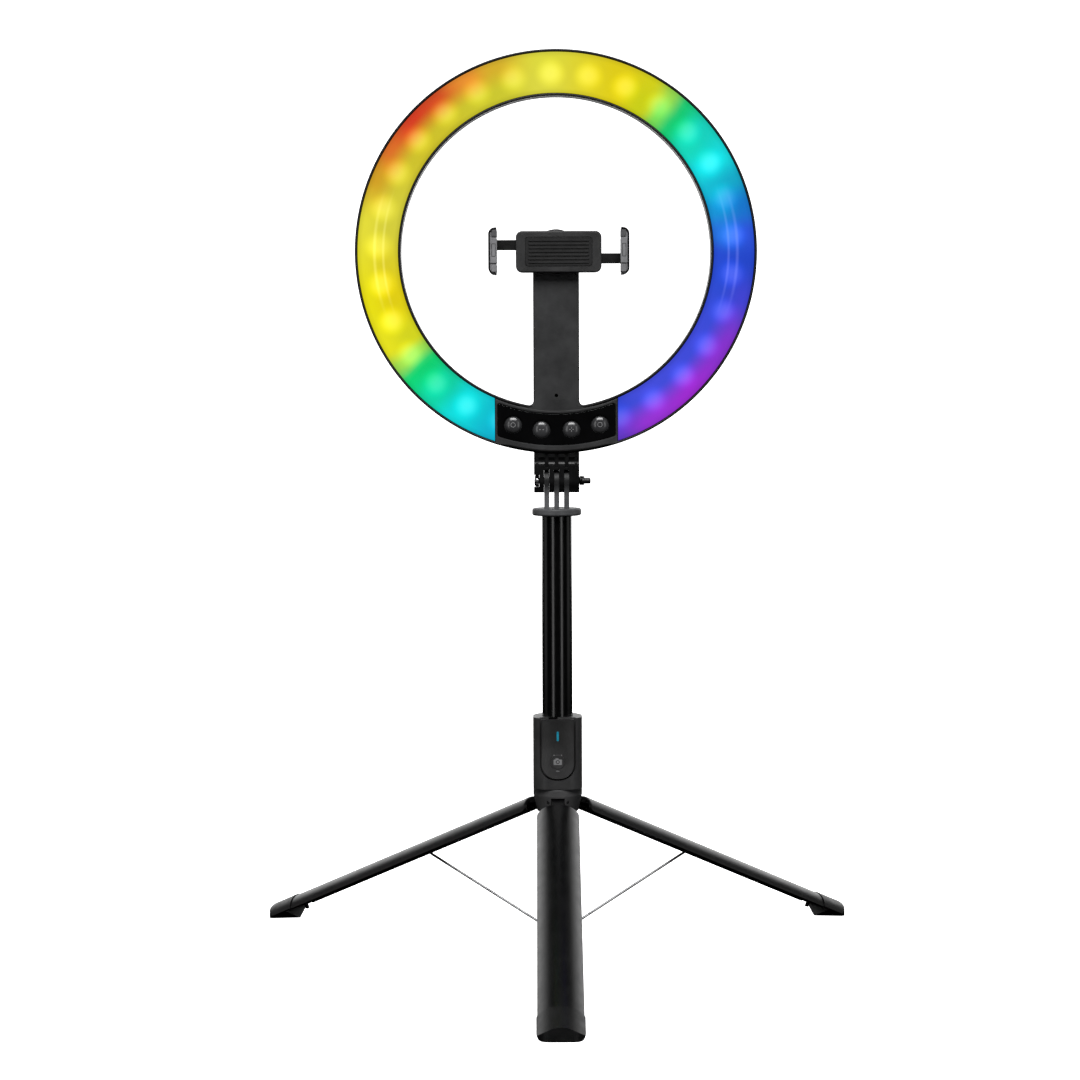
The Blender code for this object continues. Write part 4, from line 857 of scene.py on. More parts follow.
def make_neck():
    step_z = TILT_Z + 8.7 * MM
    outline = [(NECK_ROUND * math.cos(a), TILT_Z + NECK_DROP * math.sin(a))
               for a in (math.pi * (1 + step / 24) for step in range(25))]
    outline += [(NECK_ROUND, step_z), (NECK_BACK, step_z), (NECK_BACK, NECK_TOP), (-NECK_ROUND, NECK_TOP)]
    neck = new_piece("neck_body", slab(outline, -NECK_HALF_WIDTH, NECK_HALF_WIDTH, SIDE_ON),
                     MATERIALS["shell"], "ring_head", "neck_bracket")
    tools = [bar(RING_RADIUS + GAP, RING_BACK - GAP, 30 * MM, RING, 192)]
    slot_top = TILT_Z + FIN_RADIUS + 0.15 * MM
    for place in (-1, 0, 1):
        middle = place * FIN_PITCH
        half = FIN_HALF + 0.06 * MM
        tools.append(block((middle - half, -20 * MM, FLANGE_TOP - 2 * MM),
                           (middle + half, 20 * MM, slot_top)))
    tools.append(block((-NECK_HALF_WIDTH - 1 * MM, -20 * MM, TILT_Z - 3.9 * MM),
                       (-11.0 * MM, 20 * MM, TILT_Z + 3.9 * MM)))
    tools.append(bar(SCREW_BORE, -20 * MM, 20 * MM, TILT, 32))
    for x, y in NECK_SCREWS:
        tools.append(bar(1.8 * MM, -14 * MM, -6 * MM, at(x, y), 24))
    for middle in (-1, 0, 1):
        groove = rounded_box(RIB_GROOVE, RIB_LENGTH, RIB_GROOVE * 0.9)
        here = at(middle * FIN_PITCH, slot_top + RIB_RISE, UPRIGHT)
        tools.append(slab(groove, NECK_ROUND - 2.6 * MM, NECK_ROUND + 3 * MM, here))
    for side in (-1, 1):
        groove = rounded_box(0.9 * MM, RIB_LENGTH, 0.85 * MM)
        here = at(side * 12.4 * MM, slot_top + RIB_RISE, UPRIGHT)
        tools.append(slab(groove, NECK_ROUND - 1.2 * MM, NECK_ROUND + 3 * MM, here))
    scoop = Matrix.Translation((0, -NECK_ROUND - 1.6 * MM, 12.6 * MM))
    tools.append(bar(3.0 * MM, -20 * MM, 20 * MM, scoop @ TILT, 48))
    carve(neck, *tools)
    round_edges(neck, 0.38 * MM, 3)

    profile = soften([(0, 17.6 * MM), (2.9 * MM, 17.6 * MM), (2.9 * MM, NECK_HALF_WIDTH + GAP),
                      (2.0 * MM, NECK_HALF_WIDTH + GAP), (2.0 * MM, -12.4 * MM), (0, -12.4 * MM)],
                     0.5 * MM, closed=False)
    screw = new_piece("wing_bolt", lathe(profile, 48, TILT, False),
                      MATERIALS["shell"], "tilt_screw", "tilt_screw")
    wing_end = span("tilt_screw", 0)[1]
    wing = rounded_box(1.75 * MM, 8.0 * MM, 1.6 * MM)
    unite(screw, slab(wing, 15.5 * MM, wing_end, TILT, 0.9 * MM))
    even(screw)

    nut = soften([(0, -14.35 * MM), (2.2 * MM, -14.2 * MM), (3.3 * MM, -13.8 * MM), (3.82 * MM, -13.0 * MM),
                  (3.82 * MM, -11.1 * MM), (0, -11.1 * MM)],
                 0.5 * MM, closed=False)
    even(new_piece("dome_nut", lathe(nut, 48, TILT, False),
                   MATERIALS["chrome"], "ring_head", "tilt_nut"))


def make_head():
    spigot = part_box("mast_tube_5")[1].x - 1.2 * MM
    profile = soften([
        (0, FLANGE_TOP), (STAND_RADIUS, FLANGE_TOP), (STAND_RADIUS, FLANGE_BOTTOM),
        (spigot, FLANGE_BOTTOM), (spigot, FLANGE_BOTTOM - 14 * MM), (0, FLANGE_BOTTOM - 14 * MM),
    ], 1.4 * MM, 8, closed=False)
    head = new_piece("head_flange", lathe(profile, 96, STAND, False),
                     MATERIALS["fin"], "section_5", "mast_head")
    outline = arc((0, TILT_Z), FIN_RADIUS, 0, math.pi, 31)
    outline += [(-FIN_RADIUS, FLANGE_TOP - 1.5 * MM), (FIN_RADIUS, FLANGE_TOP - 1.5 * MM)]
    for place in (-1, 0, 1):
        middle = place * FIN_PITCH
        unite(head, slab(outline, middle - FIN_HALF, middle + FIN_HALF, SIDE_ON, 0.2 * MM))
    carve(head, bar(SCREW_BORE, -20 * MM, 20 * MM, TILT, 32))
    settle(head, 35)


def make_mast():
    for number in range(1, 6):
        name = f"mast_tube_{number}"
        low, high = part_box(name)
        radius = high.x
        wall = 0.9 * MM
        profile = soften([(radius, high.z), (radius, low.z), (radius - wall, low.z), (radius - wall, high.z)],
                         0.25 * MM, 4)
        body = "mast" if number == 1 else f"section_{number}"
        look = "tube" if number == 1 else "steel"
        tube = new_piece(f"tube_{number}", lathe(profile, 96, STAND),
                         MATERIALS[look], body, name)
        even(tube)


# ---------------------------------------------------------------- stand

BORE_RADIUS = 10.0 * MM
HUB_BOTTOM, HUB_TOP = span("leg_hub", 2)
DOCK_BOTTOM, DOCK_TOP = span("dock_shell", 2)
DOCK_CORNER = 9.7 * MM
DOCK_LOBE = 1.2 * MM
POCKET_ROOM = 1.15 * MM
KNUCKLE_WIDTH = 8.0 * MM
LEG_WALL = 1.7 * MM
LEG_HALF_ANGLE = math.radians(59.3)
LEG_START = 6.5 * MM
LEG_END = 209.7 * MM
LEG_SHOULDER = (  # millimetres from the start, share of the half angle, millimetres off the radius
    (0.0, 0.84, 0.45), (0.4, 0.90, 0.12), (1.0, 0.95, 0.0), (2.0, 0.985, 0.0), (3.4, 1.0, 0.0),
)
PEG_START = 204.9 * MM
PEG_REACH = 8.3 * MM
PEG_THICK = 2.3 * MM
LUG_SLOT = 2.4 * MM
LUG_WIDTH = 5.6 * MM
EYE_RADIUS = 1.3 * MM
EYE_REACH = 0.9 * MM
STRUT_RADIUS = 0.86 * MM
STRUT_PIN_BORE = 0.8 * MM
LEG_PIN_BORE = 1.3 * MM
FOOT_RADIUS = 16.3 * MM
TOE_REACH = MAST_Y - CAD_BOX[0].y
TOE_ROUND = 8.0 * MM
SOLE_ROUND = 3.2 * MM


def make_hub():
    profile = soften([
        (STAND_RADIUS, HUB_TOP), (STAND_RADIUS, 102.6 * MM), (13.2 * MM, HUB_BOTTOM),
        (BORE_RADIUS, HUB_BOTTOM), (BORE_RADIUS, HUB_TOP),
    ], 0.8 * MM, 5)
    hub = new_piece("hub_body", lathe(profile, 96, STAND), MATERIALS["hub"],
                    "handle", "leg_hub")
    half = KNUCKLE_WIDTH / 2 + GAP
    tools = []
    for azimuth, hip in zip(AZIMUTHS, HIPS):
        turned = STAND @ Matrix.Rotation(azimuth, 4, "Z")
        tools.append(block((-half, -30 * MM, HUB_BOTTOM - 5 * MM),
                           (half, -BORE_RADIUS * 0.8, LEG_PIVOT_Z + 2.6 * MM), turned))
        across = Matrix.Translation(hip) @ Matrix.Rotation(azimuth, 4, "Z") @ QUARTER_Y
        tools.append(bar(LEG_PIN_BORE, -7 * MM, 7 * MM, across, 24))
    carve(hub, *tools)
    round_edges(hub, 0.35 * MM, 3)


def leg_place(number):
    return (Matrix.Translation(HIPS[number - 1]) @ Matrix.Rotation(AZIMUTHS[number - 1], 4, "Z")
            @ Matrix.Rotation(-OPEN_ANGLE, 4, "X"))


def make_leg(number):
    place = leg_place(number)
    side_on = place @ QUARTER_Z @ QUARTER_X
    mast = (0, PIVOT_RADIUS)
    down = -math.pi / 2
    middle = STAND_RADIUS - LEG_WALL / 2 - PIVOT_RADIUS

    def shell(work):
        rings = []
        stations = [(LEG_START + s * MM, share, thin * MM) for s, share, thin in LEG_SHOULDER]
        stations += [(LEG_START + s * MM, 1.0, 0.0) for s in range(20, 200, 12)]
        stations += [(LEG_END - 0.3 * MM, 1.0, 0.0), (LEG_END, 1.0, 0.25 * MM)]
        for s, share, thin in stations:
            swing = LEG_HALF_ANGLE * share
            outer = arc(mast, STAND_RADIUS - thin, down - swing, down + swing, 33)
            inner = arc(mast, STAND_RADIUS - LEG_WALL, down + swing, down - swing, 33)
            rings.append([place @ Vector((x, y, -s)) for x, y in outer + inner])
        loft(work, rings)

    leg = new_piece(f"leg_shell_{number}", shell, MATERIALS["leg"], f"leg_{number}", f"leg_{number}",
                    40)
    knuckle = arc((0, 0), 2.2 * MM, 0, math.pi, 15)
    knuckle += [(-middle, -7 * MM), (-middle, -14 * MM), (-0.5 * MM, -14 * MM)]
    half = KNUCKLE_WIDTH / 2
    parts = [slab(knuckle, -half, half, side_on, 0.25 * MM)]
    lug_radius = EYE_RADIUS + 0.4 * MM
    lug = arc((0, -STRUT_LENGTH), lug_radius, -math.pi / 2, math.pi / 2, 11)
    lug += [(-middle, -STRUT_LENGTH + lug_radius), (-middle, -STRUT_LENGTH - lug_radius)]
    for side in (-1, 1):
        ends = sorted((side * LUG_SLOT / 2, side * LUG_WIDTH / 2))
        parts.append(slab(lug, ends[0], ends[1], side_on, 0.15 * MM))
    hook = [(-middle, -PEG_START), (PEG_REACH, -PEG_START), (PEG_REACH, -PEG_START - 1.7 * MM),
            (PEG_REACH - 1.0 * MM, -PEG_START - PEG_THICK), (-middle, -PEG_START - PEG_THICK)]
    parts.append(slab(hook, -0.95 * MM, 0.95 * MM, side_on, 0.3 * MM))
    for part in parts:
        unite(leg, part)
    across = place @ QUARTER_Y
    knee = place @ Matrix.Translation((0, 0, -STRUT_LENGTH)) @ QUARTER_Y
    carve(leg, bar(LEG_PIN_BORE, -6 * MM, 6 * MM, across, 24), bar(STRUT_PIN_BORE, -4 * MM, 4 * MM, knee, 20))
    settle(leg, 35)


def round_bottomed(half_width, low, high, corner, steps):
    """An outline with square upper corners and round lower ones."""
    centre = half_width - corner
    right = arc((centre, low + corner), corner, 1.5 * math.pi, 2 * math.pi, steps)
    left = arc((-centre, low + corner), corner, math.pi, 1.5 * math.pi, steps)
    return right + [(half_width, high), (-half_width, high)] + left


def make_foot(number):
    place = leg_place(number)
    mast = (0, PIVOT_RADIUS)
    down = -math.pi / 2
    outline = arc(mast, FOOT_RADIUS, down - LEG_HALF_ANGLE, down + LEG_HALF_ANGLE, 49)
    outline += [(0.25 * MM, PIVOT_RADIUS - 0.6 * MM), (-0.25 * MM, PIVOT_RADIUS - 0.6 * MM)]
    foot = new_piece(f"foot_pad_{number}", slab(outline, -250 * MM, -LEG_END - GAP, place),
                     MATERIALS["foot"], f"leg_{number}", f"foot_{number}")
    turned = STAND @ Matrix.Rotation(AZIMUTHS[number - 1], 4, "Z")
    heel = [(-20 * MM, 4.7 * MM), (20 * MM, 4.7 * MM), (20 * MM, 20 * MM), (-20 * MM, 20 * MM)]
    carve(foot, slab(heel, -215 * MM, -LEG_END + 5 * MM, place),
          block((-30 * MM, -400 * MM, -60 * MM), (30 * MM, -100 * MM, 0), turned))
    wide = FOOT_RADIUS * math.sin(LEG_HALF_ANGLE) + 0.05 * MM
    plan = round_bottomed(wide, -TOE_REACH, -100 * MM, TOE_ROUND, 17)
    front = round_bottomed(wide, 0.0, 90 * MM, SOLE_ROUND, 13)
    carve(foot, slab(plan, -5 * MM, 80 * MM, turned), operation="INTERSECT")
    carve(foot, slab(front, 90 * MM, 260 * MM, turned @ QUARTER_X), operation="INTERSECT")
    round_edges(foot, 0.8 * MM, 4, 30)


def make_strut(number):
    place = (Matrix.Translation(KNEES[number - 1]) @ Matrix.Rotation(AZIMUTHS[number - 1], 4, "Z")
             @ Matrix.Rotation(OPEN_ANGLE, 4, "X"))
    rod = bar(STRUT_RADIUS, EYE_REACH - STRUT_LENGTH, -EYE_REACH, place, 16)
    name = f"strut_{number}"
    strut = new_piece(f"strut_bar_{number}", rod, MATERIALS["strut"], name, name)
    for reach in (0.0, STRUT_LENGTH):
        eye = place @ Matrix.Translation((0, 0, -reach)) @ QUARTER_Y
        unite(strut, bar(EYE_RADIUS, -EYE_REACH, EYE_REACH, eye, 32, 0.2 * MM))
        carve(strut, bar(STRUT_PIN_BORE, -3 * MM, 3 * MM, eye, 24))
    even(strut)


def make_strut_hub():
    foot = 14.2 * MM
    wall = BORE_RADIUS + 0.8 * MM
    floor_z = foot - GAP
    profile = soften([(0, floor_z), (BORE_RADIUS, floor_z), (BORE_RADIUS, foot + 6 * MM),
                      (wall, foot + 6 * MM), (wall, floor_z - 0.7 * MM), (0, floor_z - 0.7 * MM)],
                     0.35 * MM, 4, closed=False)
    hub = new_piece("strut_hub_cup", lathe(profile, 80, STAND, False),
                    MATERIALS["satin"], "mast", "strut_hub")
    pivot_z = LEG_PIVOT_Z - 2 * STRUT_LENGTH * math.cos(OPEN_ANGLE)
    for azimuth in AZIMUTHS:
        turned = STAND @ Matrix.Rotation(azimuth, 4, "Z")
        for side in (-1, 1):
            xs = sorted((side * LUG_SLOT / 2, side * LUG_WIDTH / 2))
            lug = [(xs[0], -PIVOT_RADIUS - 0.9 * MM), (xs[1], -PIVOT_RADIUS - 0.9 * MM),
                   (xs[1], -BORE_RADIUS - 0.4 * MM), (xs[0], -BORE_RADIUS - 0.4 * MM)]
            unite(hub, slab(lug, pivot_z - 2.2 * MM, pivot_z + 2.2 * MM, turned, 0.25 * MM))
    even(hub)


def make_dock():
    flat = STAND_RADIUS - DOCK_CORNER
    outline = arc((0, 0), STAND_RADIUS, 0, math.pi, 65)
    outline += arc((-flat, -flat), DOCK_CORNER, math.pi, 1.5 * math.pi, 21)
    outline += arc((flat, -flat), DOCK_CORNER, 1.5 * math.pi, 2 * math.pi, 21)
    dock = new_piece("dock_body", slab(outline, DOCK_BOTTOM, DOCK_TOP + DOCK_LOBE, STAND), MATERIALS["dock"],
                     "handle", "dock_shell")
    bush_top = DOCK_BOTTOM + 4.6 * MM
    carve(dock, bar(BORE_RADIUS, 90 * MM, 160 * MM, STAND, 96),
          bar(BORE_RADIUS + 2.3 * MM, 90 * MM, bush_top, STAND, 64),
          slab(remote_outline(-POCKET_ROOM, 4 * MM), 10.0 * MM, 20 * MM, UPRIGHT))
    round_edges(dock, 0.65 * MM, 4)


REMOTE_BOTTOM, REMOTE_TOP = span("remote_cover", 2)
REMOTE_HALF_WIDTH = 10.3 * MM
REMOTE_CORNER = 9.2 * MM
REMOTE_FRONT = front_of("remote_cover")[1]
REMOTE_SPLIT = 12.4 * MM
REMOTE_RADIUS = 30.0 * MM
BUTTON_Z = 125.2 * MM
LED_Z = 141.6 * MM


def remote_outline(room, extra_top=0.0):
    return round_bottomed(REMOTE_HALF_WIDTH - room, REMOTE_BOTTOM + room, REMOTE_TOP - room + extra_top,
                          REMOTE_CORNER - room, 17)


def make_remote():
    cover = new_piece("remote_front", slab(remote_outline(0), REMOTE_SPLIT + 0.15 * MM, 18 * MM, UPRIGHT),
                      MATERIALS["remote"], "remote", "remote_cover")
    swing = math.asin(14 * MM / REMOTE_RADIUS)
    curve = arc((0, -REMOTE_FRONT + REMOTE_RADIUS), REMOTE_RADIUS, -math.pi / 2 - swing,
                -math.pi / 2 + swing, 49)
    section = curve + [(curve[-1][0], -5 * MM), (curve[0][0], -5 * MM)]
    carve(cover, slab(section, 100 * MM, 160 * MM, STAND), operation="INTERSECT")
    face = at(0, BUTTON_Z, UPRIGHT)
    carve(cover, bar(4.72 * MM, 12.9 * MM, 20 * MM, face, 64),
          slab(rounded_box(0.8 * MM, 3.15 * MM, 0.75 * MM), 15.2 * MM, 20 * MM, at(0, LED_Z, UPRIGHT)))
    round_edges(cover, 0.4 * MM, 4, 30)
    case = slab(remote_outline(0), 10.3 * MM, REMOTE_SPLIT - 0.15 * MM, UPRIGHT, 0.3 * MM)
    even(new_piece("remote_back", case, MATERIALS["satin"], "remote", "remote_case"))
    button = soften([(0, 15.78 * MM), (1.2 * MM, 15.8 * MM), (4.6 * MM, 15.95 * MM), (4.6 * MM, 14.5 * MM),
                     (0, 14.5 * MM)], 0.3 * MM, closed=False)
    even(new_piece("shutter_button", lathe(button, 64, face, False),
                   MATERIALS["remote"], "remote_button", "remote_button"))


def make_remote_signs():
    """A plain camera sign on the button, and three small marks on the cover."""
    face = at(0, BUTTON_Z, UPRIGHT)
    low, top = 15.5 * MM, 15.93 * MM
    camera_box = slab(rounded_box(2.7 * MM, 1.75 * MM, 0.55 * MM, 5), low, top, at(0, -0.1 * MM, face))
    sign = new_piece("shutter_sign", camera_box, MATERIALS["print"], "remote_button", ())
    unite(sign, slab(rounded_box(1.0 * MM, 0.6 * MM, 0.25 * MM, 5), low + 0.001 * MM, top,
                     at(-0.5 * MM, 1.8 * MM, face)))
    lens = [(0.75 * MM, 15 * MM), (1.25 * MM, 15 * MM), (1.25 * MM, 17 * MM), (0.75 * MM, 17 * MM)]
    carve(sign, lathe(lens, 32, face))
    even(sign)

    def small_marks(work):
        front = math.sqrt(REMOTE_RADIUS ** 2 - (2.4 * MM) ** 2) - REMOTE_RADIUS + REMOTE_FRONT
        for x in (-2.4, 2.4):
            dot = rounded_box(0.42 * MM, 0.3 * MM, 0.25 * MM, 5)
            add_prism(work, dot, front - 0.5 * MM, front + 0.03 * MM, at(x * MM, 129.6 * MM, UPRIGHT))
        add_prism(work, rounded_box(1.1 * MM, 0.22 * MM, 0.2 * MM, 5), REMOTE_FRONT - 0.5 * MM,
                  REMOTE_FRONT + 0.02 * MM, at(0, 119.4 * MM, UPRIGHT))
    even(new_piece("remote_marks", small_marks, MATERIALS["print"], "remote"))


def make_remote_light():
    material, tree, shader = shader_of("remote_indicator")
    shader.inputs["Base Color"].default_value = (0.0, 0.05, 0.08, 1)
    shader.inputs["Roughness"].default_value = 0.25
    place = node(tree, "ShaderNodeTexCoord").outputs["Object"]
    tint = node(tree, "ShaderNodeMix", data_type="RGBA")
    tint.inputs["A"].default_value = (0.012, 0.13, 0.19, 1)
    tint.inputs["B"].default_value = (0.02, 0.20, 0.28, 1)
    tree.links.new(spread(tree, noise(tree, place, 300.0), 0, 1), tint.inputs["Factor"])
    tree.links.new(tint.outputs["Result"], shader.inputs["Emission Color"])
    shader.inputs["Emission Strength"].default_value = 1.0
    outline = rounded_box(0.7 * MM, 3.05 * MM, 0.65 * MM)
    strip = slab(outline, 15.1 * MM, 15.75 * MM, at(0, LED_Z, UPRIGHT), 0.1 * MM)
    even(new_piece("remote_light", strip, material, "remote"))


# ---------------------------------------------------------------- phone clamp

CLAMP_HALF_WIDTH = span("clamp_body", 0)[1]
CLAMP_HALF_HEIGHT = (span("clamp_body", 2)[1] - span("clamp_body", 2)[0]) / 2
CLAMP_FRONT = front_of("clamp_body")[1]
JAW_OUTER = span("jaw_right", 0)[1]
JAW_INNER = 38.9 * MM
PAD_INNER = span("jaw_pad_right", 0)[0]
JAW_HALF_HEIGHT = (span("jaw_right", 2)[1] - span("jaw_right", 2)[0]) / 2
JAW_FRONT = front_of("jaw_right")[1]
JAW_SHIFT = 1.7 * MM
PAD_UPPER = (8.9 * MM, 13.0 * MM)
PAD_MIDDLE = (-7.6 * MM, 8.1 * MM)
PAD_LOWER = (-13.0 * MM, -8.6 * MM)
PAD_INLAY = (-3.6 * MM, 4.6 * MM)


def make_clamp():
    place = at(JAW_SHIFT, 0)
    outline = rounded_box(CLAMP_HALF_WIDTH, CLAMP_HALF_HEIGHT, 4 * MM)
    body = new_piece("clamp_shell", slab(outline, 9.5 * MM, CLAMP_FRONT - 0.35 * MM, place, 0.9 * MM),
                     MATERIALS["satin"], "phone_clamp", "clamp_body")
    cavity = rounded_box(CLAMP_HALF_WIDTH - 1.5 * MM, CLAMP_HALF_HEIGHT - 1.5 * MM, 2.5 * MM)
    tools = [slab(cavity, 9 * MM, 14.2 * MM, place),
             slab(rounded_box(21.3 * MM, 9.3 * MM, 2.3 * MM), 15.0 * MM, 17 * MM, place)]
    for side in (-1, 1):
        tools.append(block(*arm_span(side, 24 * MM, 30 * MM, GAP), place))
    carve(body, *tools)
    settle(body, 35)

    def grip(work):
        plate = rounded_box(21 * MM, 9 * MM, 2 * MM)
        add_prism(work, plate, 14.8 * MM, CLAMP_FRONT - 0.5 * MM, place, 0.2 * MM)
        for step in range(-3, 4):
            add_prism(work, rounded_box(19 * MM, 0.55 * MM, 0.5 * MM, 5), 15.2 * MM, CLAMP_FRONT,
                      at(0, step * 2.3 * MM, place), 0.25 * MM)
    even(new_piece("clamp_grip", grip, MATERIALS["rubber"], "phone_clamp", ()))
    cover = new_piece("clamp_back", slab(outline, 8.0 * MM, 9.2 * MM, place, 0.35 * MM), MATERIALS["satin"],
                      "phone_clamp", "clamp_cover")
    carve(cover, bar(SWIVEL_BORE, 5 * MM, 12 * MM, RING, 48))
    even(cover)
    swivel = soften([
        (0, 10.7 * MM), (6.5 * MM, 10.7 * MM), (6.5 * MM, 9.5 * MM), (4 * MM, 9.5 * MM),
        (4 * MM, STEM_BACK - GAP), (8 * MM, STEM_BACK - GAP), (8 * MM, -5.3 * MM), (2.4 * MM, -5.3 * MM),
        (2.0 * MM, -4.6 * MM), (0, -4.6 * MM),
    ], 0.35 * MM, closed=False)
    even(new_piece("swivel_pin", lathe(swivel, 64, RING, False),
                   MATERIALS["steel"], "phone_clamp", "clamp_swivel"))


def arm_span(side, inner_end, outer_end, room):
    ends = sorted((side * inner_end, side * outer_end))
    heights = sorted((-side * 1.0 * MM, -side * 7.5 * MM))
    return ((ends[0], heights[0] - room, 11.4 * MM - room), (ends[1], heights[1] + room, 13.4 * MM + room))


def make_jaw(name, side):
    corner = 4.2 * MM
    rim = 0.95 * MM
    jaw_place = at(JAW_SHIFT, 0)

    def jaw_outline(grow, inner):
        """The jaw seen from in front, rounded on its outer side."""
        outer = JAW_OUTER - grow
        high = JAW_HALF_HEIGHT - grow
        size = corner - grow
        points = arc((outer - size, high - size), size, 0, math.pi / 2, 13)
        points += [(inner, high), (inner, -high)]
        points += arc((outer - size, -high + size), size, 1.5 * math.pi, 2 * math.pi, 13)
        return [(side * x, y) for x, y in points]

    cup = slab(jaw_outline(0, JAW_INNER), 9.9 * MM, JAW_FRONT, jaw_place, 0.5 * MM)
    jaw = new_piece(f"{name}_shell", cup, MATERIALS["jaw"], name, name)
    carve(jaw, slab(jaw_outline(rim, JAW_INNER - 3 * MM), 16 * MM, 30 * MM, jaw_place))
    arm = block(*arm_span(side, -5 * MM, JAW_OUTER - 1.5 * MM, 0), jaw_place)
    unite(jaw, arm)
    round_edges(jaw, 0.2 * MM, 2)
    pad_low = JAW_FRONT - 11 * MM
    pad = f"jaw_pad_{name[4:]}"
    inner = PAD_INNER
    outer = JAW_OUTER - rim - 0.25 * MM

    def segment(work, low_z, high_z, shrink=0.0):
        centre = side * (outer - shrink + inner) / 2
        outline = rounded_box((outer - shrink - inner) / 2, (high_z - low_z) / 2, 0.45 * MM, 5)
        add_prism(work, outline, pad_low + 0.35 * MM, JAW_FRONT - GAP,
                  jaw_place @ Matrix.Translation((centre, (low_z + high_z) / 2, 0)), 0.25 * MM)

    def lower_segments(work):
        whole = jaw_outline(rim + 0.25 * MM, inner + 0.6 * MM)
        add_prism(work, tidy_outline(whole), pad_low + 0.3 * MM, JAW_FRONT - 1.1 * MM, jaw_place)
        segment(work, *PAD_MIDDLE)
        segment(work, *PAD_LOWER, 0.9 * MM)
    even(new_piece(f"pad_{name[4:]}", lower_segments, MATERIALS["pad"], name, pad))
    even(new_piece(f"pad_top_{name[4:]}", lambda work: segment(work, *PAD_UPPER, 0.9 * MM),
                   MATERIALS["pad_dark"], name, ()))

    half = (PAD_INLAY[1] - PAD_INLAY[0]) / 2
    here = jaw_place @ Matrix.Translation((side * (outer + inner) / 2, (PAD_INLAY[0] + PAD_INLAY[1]) / 2, 0))
    outside = rounded_box(1.3 * MM, half, 0.6 * MM, 6)
    inside = rounded_box(0.95 * MM, half - 0.35 * MM, 0.3 * MM, 6)
    line = new_piece(f"pad_line_{name[4:]}", slab(outside, JAW_FRONT - 1 * MM, JAW_FRONT - 0.27 * MM, here),
                     MATERIALS["rubber"], name, ())
    carve(line, slab(inside, JAW_FRONT - 2 * MM, JAW_FRONT, here))
    even(line)


# ---------------------------------------------------------------- stage, lights and camera

STAGE_GLOW = 1.7
BACKDROP_HALF = 2.4
BACKDROP_TOP = 2.1
BACKDROP_Y = 2.6
FLOOR_HALF = 9.0
FLOOR_Z = -0.0002
LIGHT_TARGET = (0, MAST_Y, 0.28)
STRIP_REACH = 1.9
SENSOR_WIDTH = 36.0
CAMERA_LENS = 83.67
CAMERA_DISTANCE = 1.600
CAMERA_X = -0.010756
CAMERA_Z = 0.37265
CAMERA_PITCH = math.radians(90 - 3.82)
CAMERA_ROLL = math.radians(-0.228)


def repaint():
    """Better materials for the CAD nodes that stay."""
    looks = {
        "leg_pin": "blackened", "strut_pin": "blackened", "dock_bush": "nylon", "mast_bush": "nylon",
        "remote_board": "board", "remote_battery": "chrome", "light_spreader": "opal", "led_board": "board",
        "control_board": "board", "power_inlet": "steel", "neck_screw": "steel", "clamp_spring": "steel",
    }
    for name, piece in frame["nodes"].items():
        for start, look in looks.items():
            if name.startswith(start):
                piece.data.materials.clear()
                piece.data.materials.append(MATERIALS[look])


def make_stage():
    material, tree, shader = shader_of("studio_paper")
    place = node(tree, "ShaderNodeTexCoord").outputs["Object"]
    mix = node(tree, "ShaderNodeMix", data_type="RGBA")
    mix.inputs["A"].default_value = (0.90, 0.90, 0.90, 1)
    mix.inputs["B"].default_value = (0.93, 0.93, 0.93, 1)
    tree.links.new(noise(tree, place, 2.0), mix.inputs["Factor"])
    tree.links.new(mix.outputs["Result"], shader.inputs["Base Color"])
    shader.inputs["Roughness"].default_value = 0.9
    shader.inputs["Specular IOR Level"].default_value = 0.1
    parts = node(tree, "ShaderNodeSeparateXYZ")
    tree.links.new(place, parts.inputs["Vector"])
    glow = spread(tree, parts.outputs["Z"], 1.0, 0.15, 0.7, BACKDROP_TOP)
    tree.links.new(glow, shader.inputs["Emission Color"])
    shader.inputs["Emission Strength"].default_value = STAGE_GLOW
    around = ((-1, -1), (1, -1), (1, 1), (-1, 1))
    corners = [(x * FLOOR_HALF, y * FLOOR_HALF, FLOOR_Z) for x, y in around]
    floor = flat_sheet("studio_floor", corners, material)
    floor.visible_glossy = False
    floor.visible_diffuse = False
    corners = [(x * BACKDROP_HALF, BACKDROP_Y, (z + 1) / 2 * BACKDROP_TOP) for x, z in around]
    flat_sheet("studio_backdrop", corners, material)


def flat_sheet(name, corners, material):
    mesh = bpy.data.meshes.new(name)
    mesh.from_pydata(corners, [], [(0, 1, 2, 3)])
    mesh.materials.append(material)
    sheet = bpy.data.objects.new(name, mesh)
    bpy.context.scene.collection.objects.link(sheet)
    return sheet


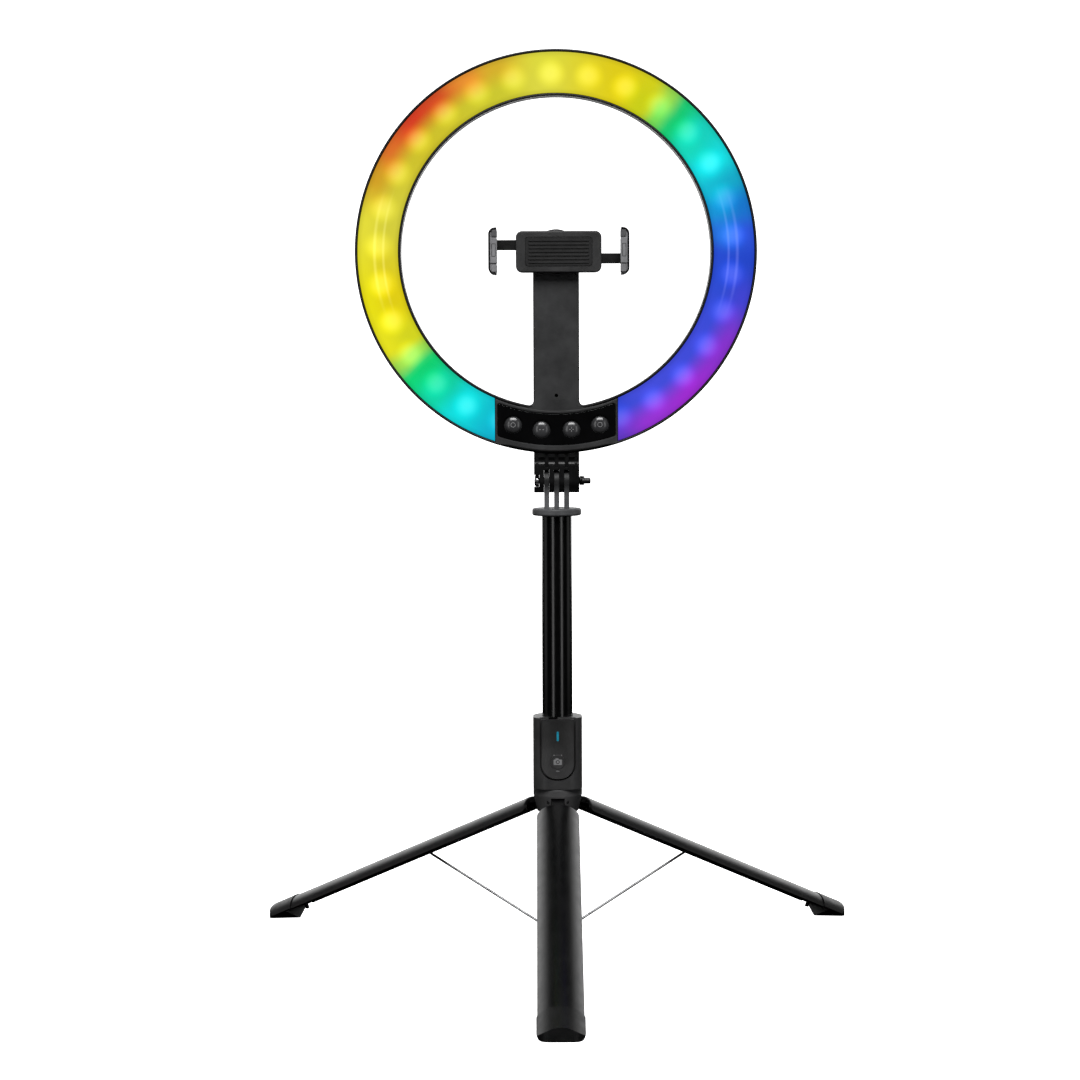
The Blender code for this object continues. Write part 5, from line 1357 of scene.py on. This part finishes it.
def area_light(name, place, size, power, target=LIGHT_TARGET):
    light = bpy.data.lights.new(name, "AREA")
    light.shape = "RECTANGLE"
    light.size, light.size_y = size
    light.energy = power
    lamp = bpy.data.objects.new(name, light)
    lamp.location = place
    lamp.rotation_euler = (Vector(target) - Vector(place)).to_track_quat("-Z", "Y").to_euler()
    lamp.visible_camera = False
    bpy.context.scene.collection.objects.link(lamp)


def make_lights():
    world = bpy.data.worlds.new("studio")
    bpy.context.scene.world = world
    world.use_nodes = True
    background = world.node_tree.nodes["Background"]
    background.inputs["Color"].default_value = (1, 1, 1, 1)
    background.inputs["Strength"].default_value = 1.0
    world.cycles_visibility.glossy = False
    world.cycles_visibility.diffuse = False
    area_light("key_box", (0, MAST_Y - 1.5, 1.9), (1.6, 1.0), 58)
    for side, swing, width, power in ((-1, 30.5, 0.42, 3.2), (1, 35.5, 0.40, 2.9)):
        angle = math.radians(swing)
        place = (side * STRIP_REACH * math.sin(angle), MAST_Y - STRIP_REACH * math.cos(angle), 0.42)
        area_light(f"strip_{swing:.0f}", place, (width, 1.2), power, (0, MAST_Y, 0.30))
    for side in (-1, 1):
        area_light(f"edge_{side}", (side * 1.9, MAST_Y + 0.2, 0.7), (1.0, 1.6), 1.6)
        area_light(f"rear_{side}", (side * 1.5, MAST_Y + 1.7, 1.2), (0.8, 1.2), 2.0)


def make_camera():
    camera = bpy.data.cameras.new("camera")
    camera.lens = CAMERA_LENS
    camera.sensor_width = SENSOR_WIDTH
    holder = bpy.data.objects.new("camera", camera)
    turn = Matrix.Rotation(CAMERA_PITCH, 4, "X") @ Matrix.Rotation(CAMERA_ROLL, 4, "Z")
    holder.matrix_world = Matrix.Translation((CAMERA_X, MAST_Y - CAMERA_DISTANCE, CAMERA_Z)) @ turn
    bpy.context.scene.collection.objects.link(holder)
    bpy.context.scene.camera = holder


def main():
    make_frame()
    make_bay()
    make_panel()
    make_ring_back()
    make_neck()
    make_head()
    make_mast()
    make_hub()
    for number in (1, 2, 3):
        make_leg(number)
        make_foot(number)
        make_strut(number)
    make_strut_hub()
    make_dock()
    make_remote()
    make_remote_signs()
    make_remote_light()
    make_clamp()
    make_jaw("jaw_left", -1)
    make_jaw("jaw_right", 1)
    repaint()
    make_stage()
    make_lights()
    make_camera()
    bpy.context.scene.view_settings.view_transform = "Standard"


main()
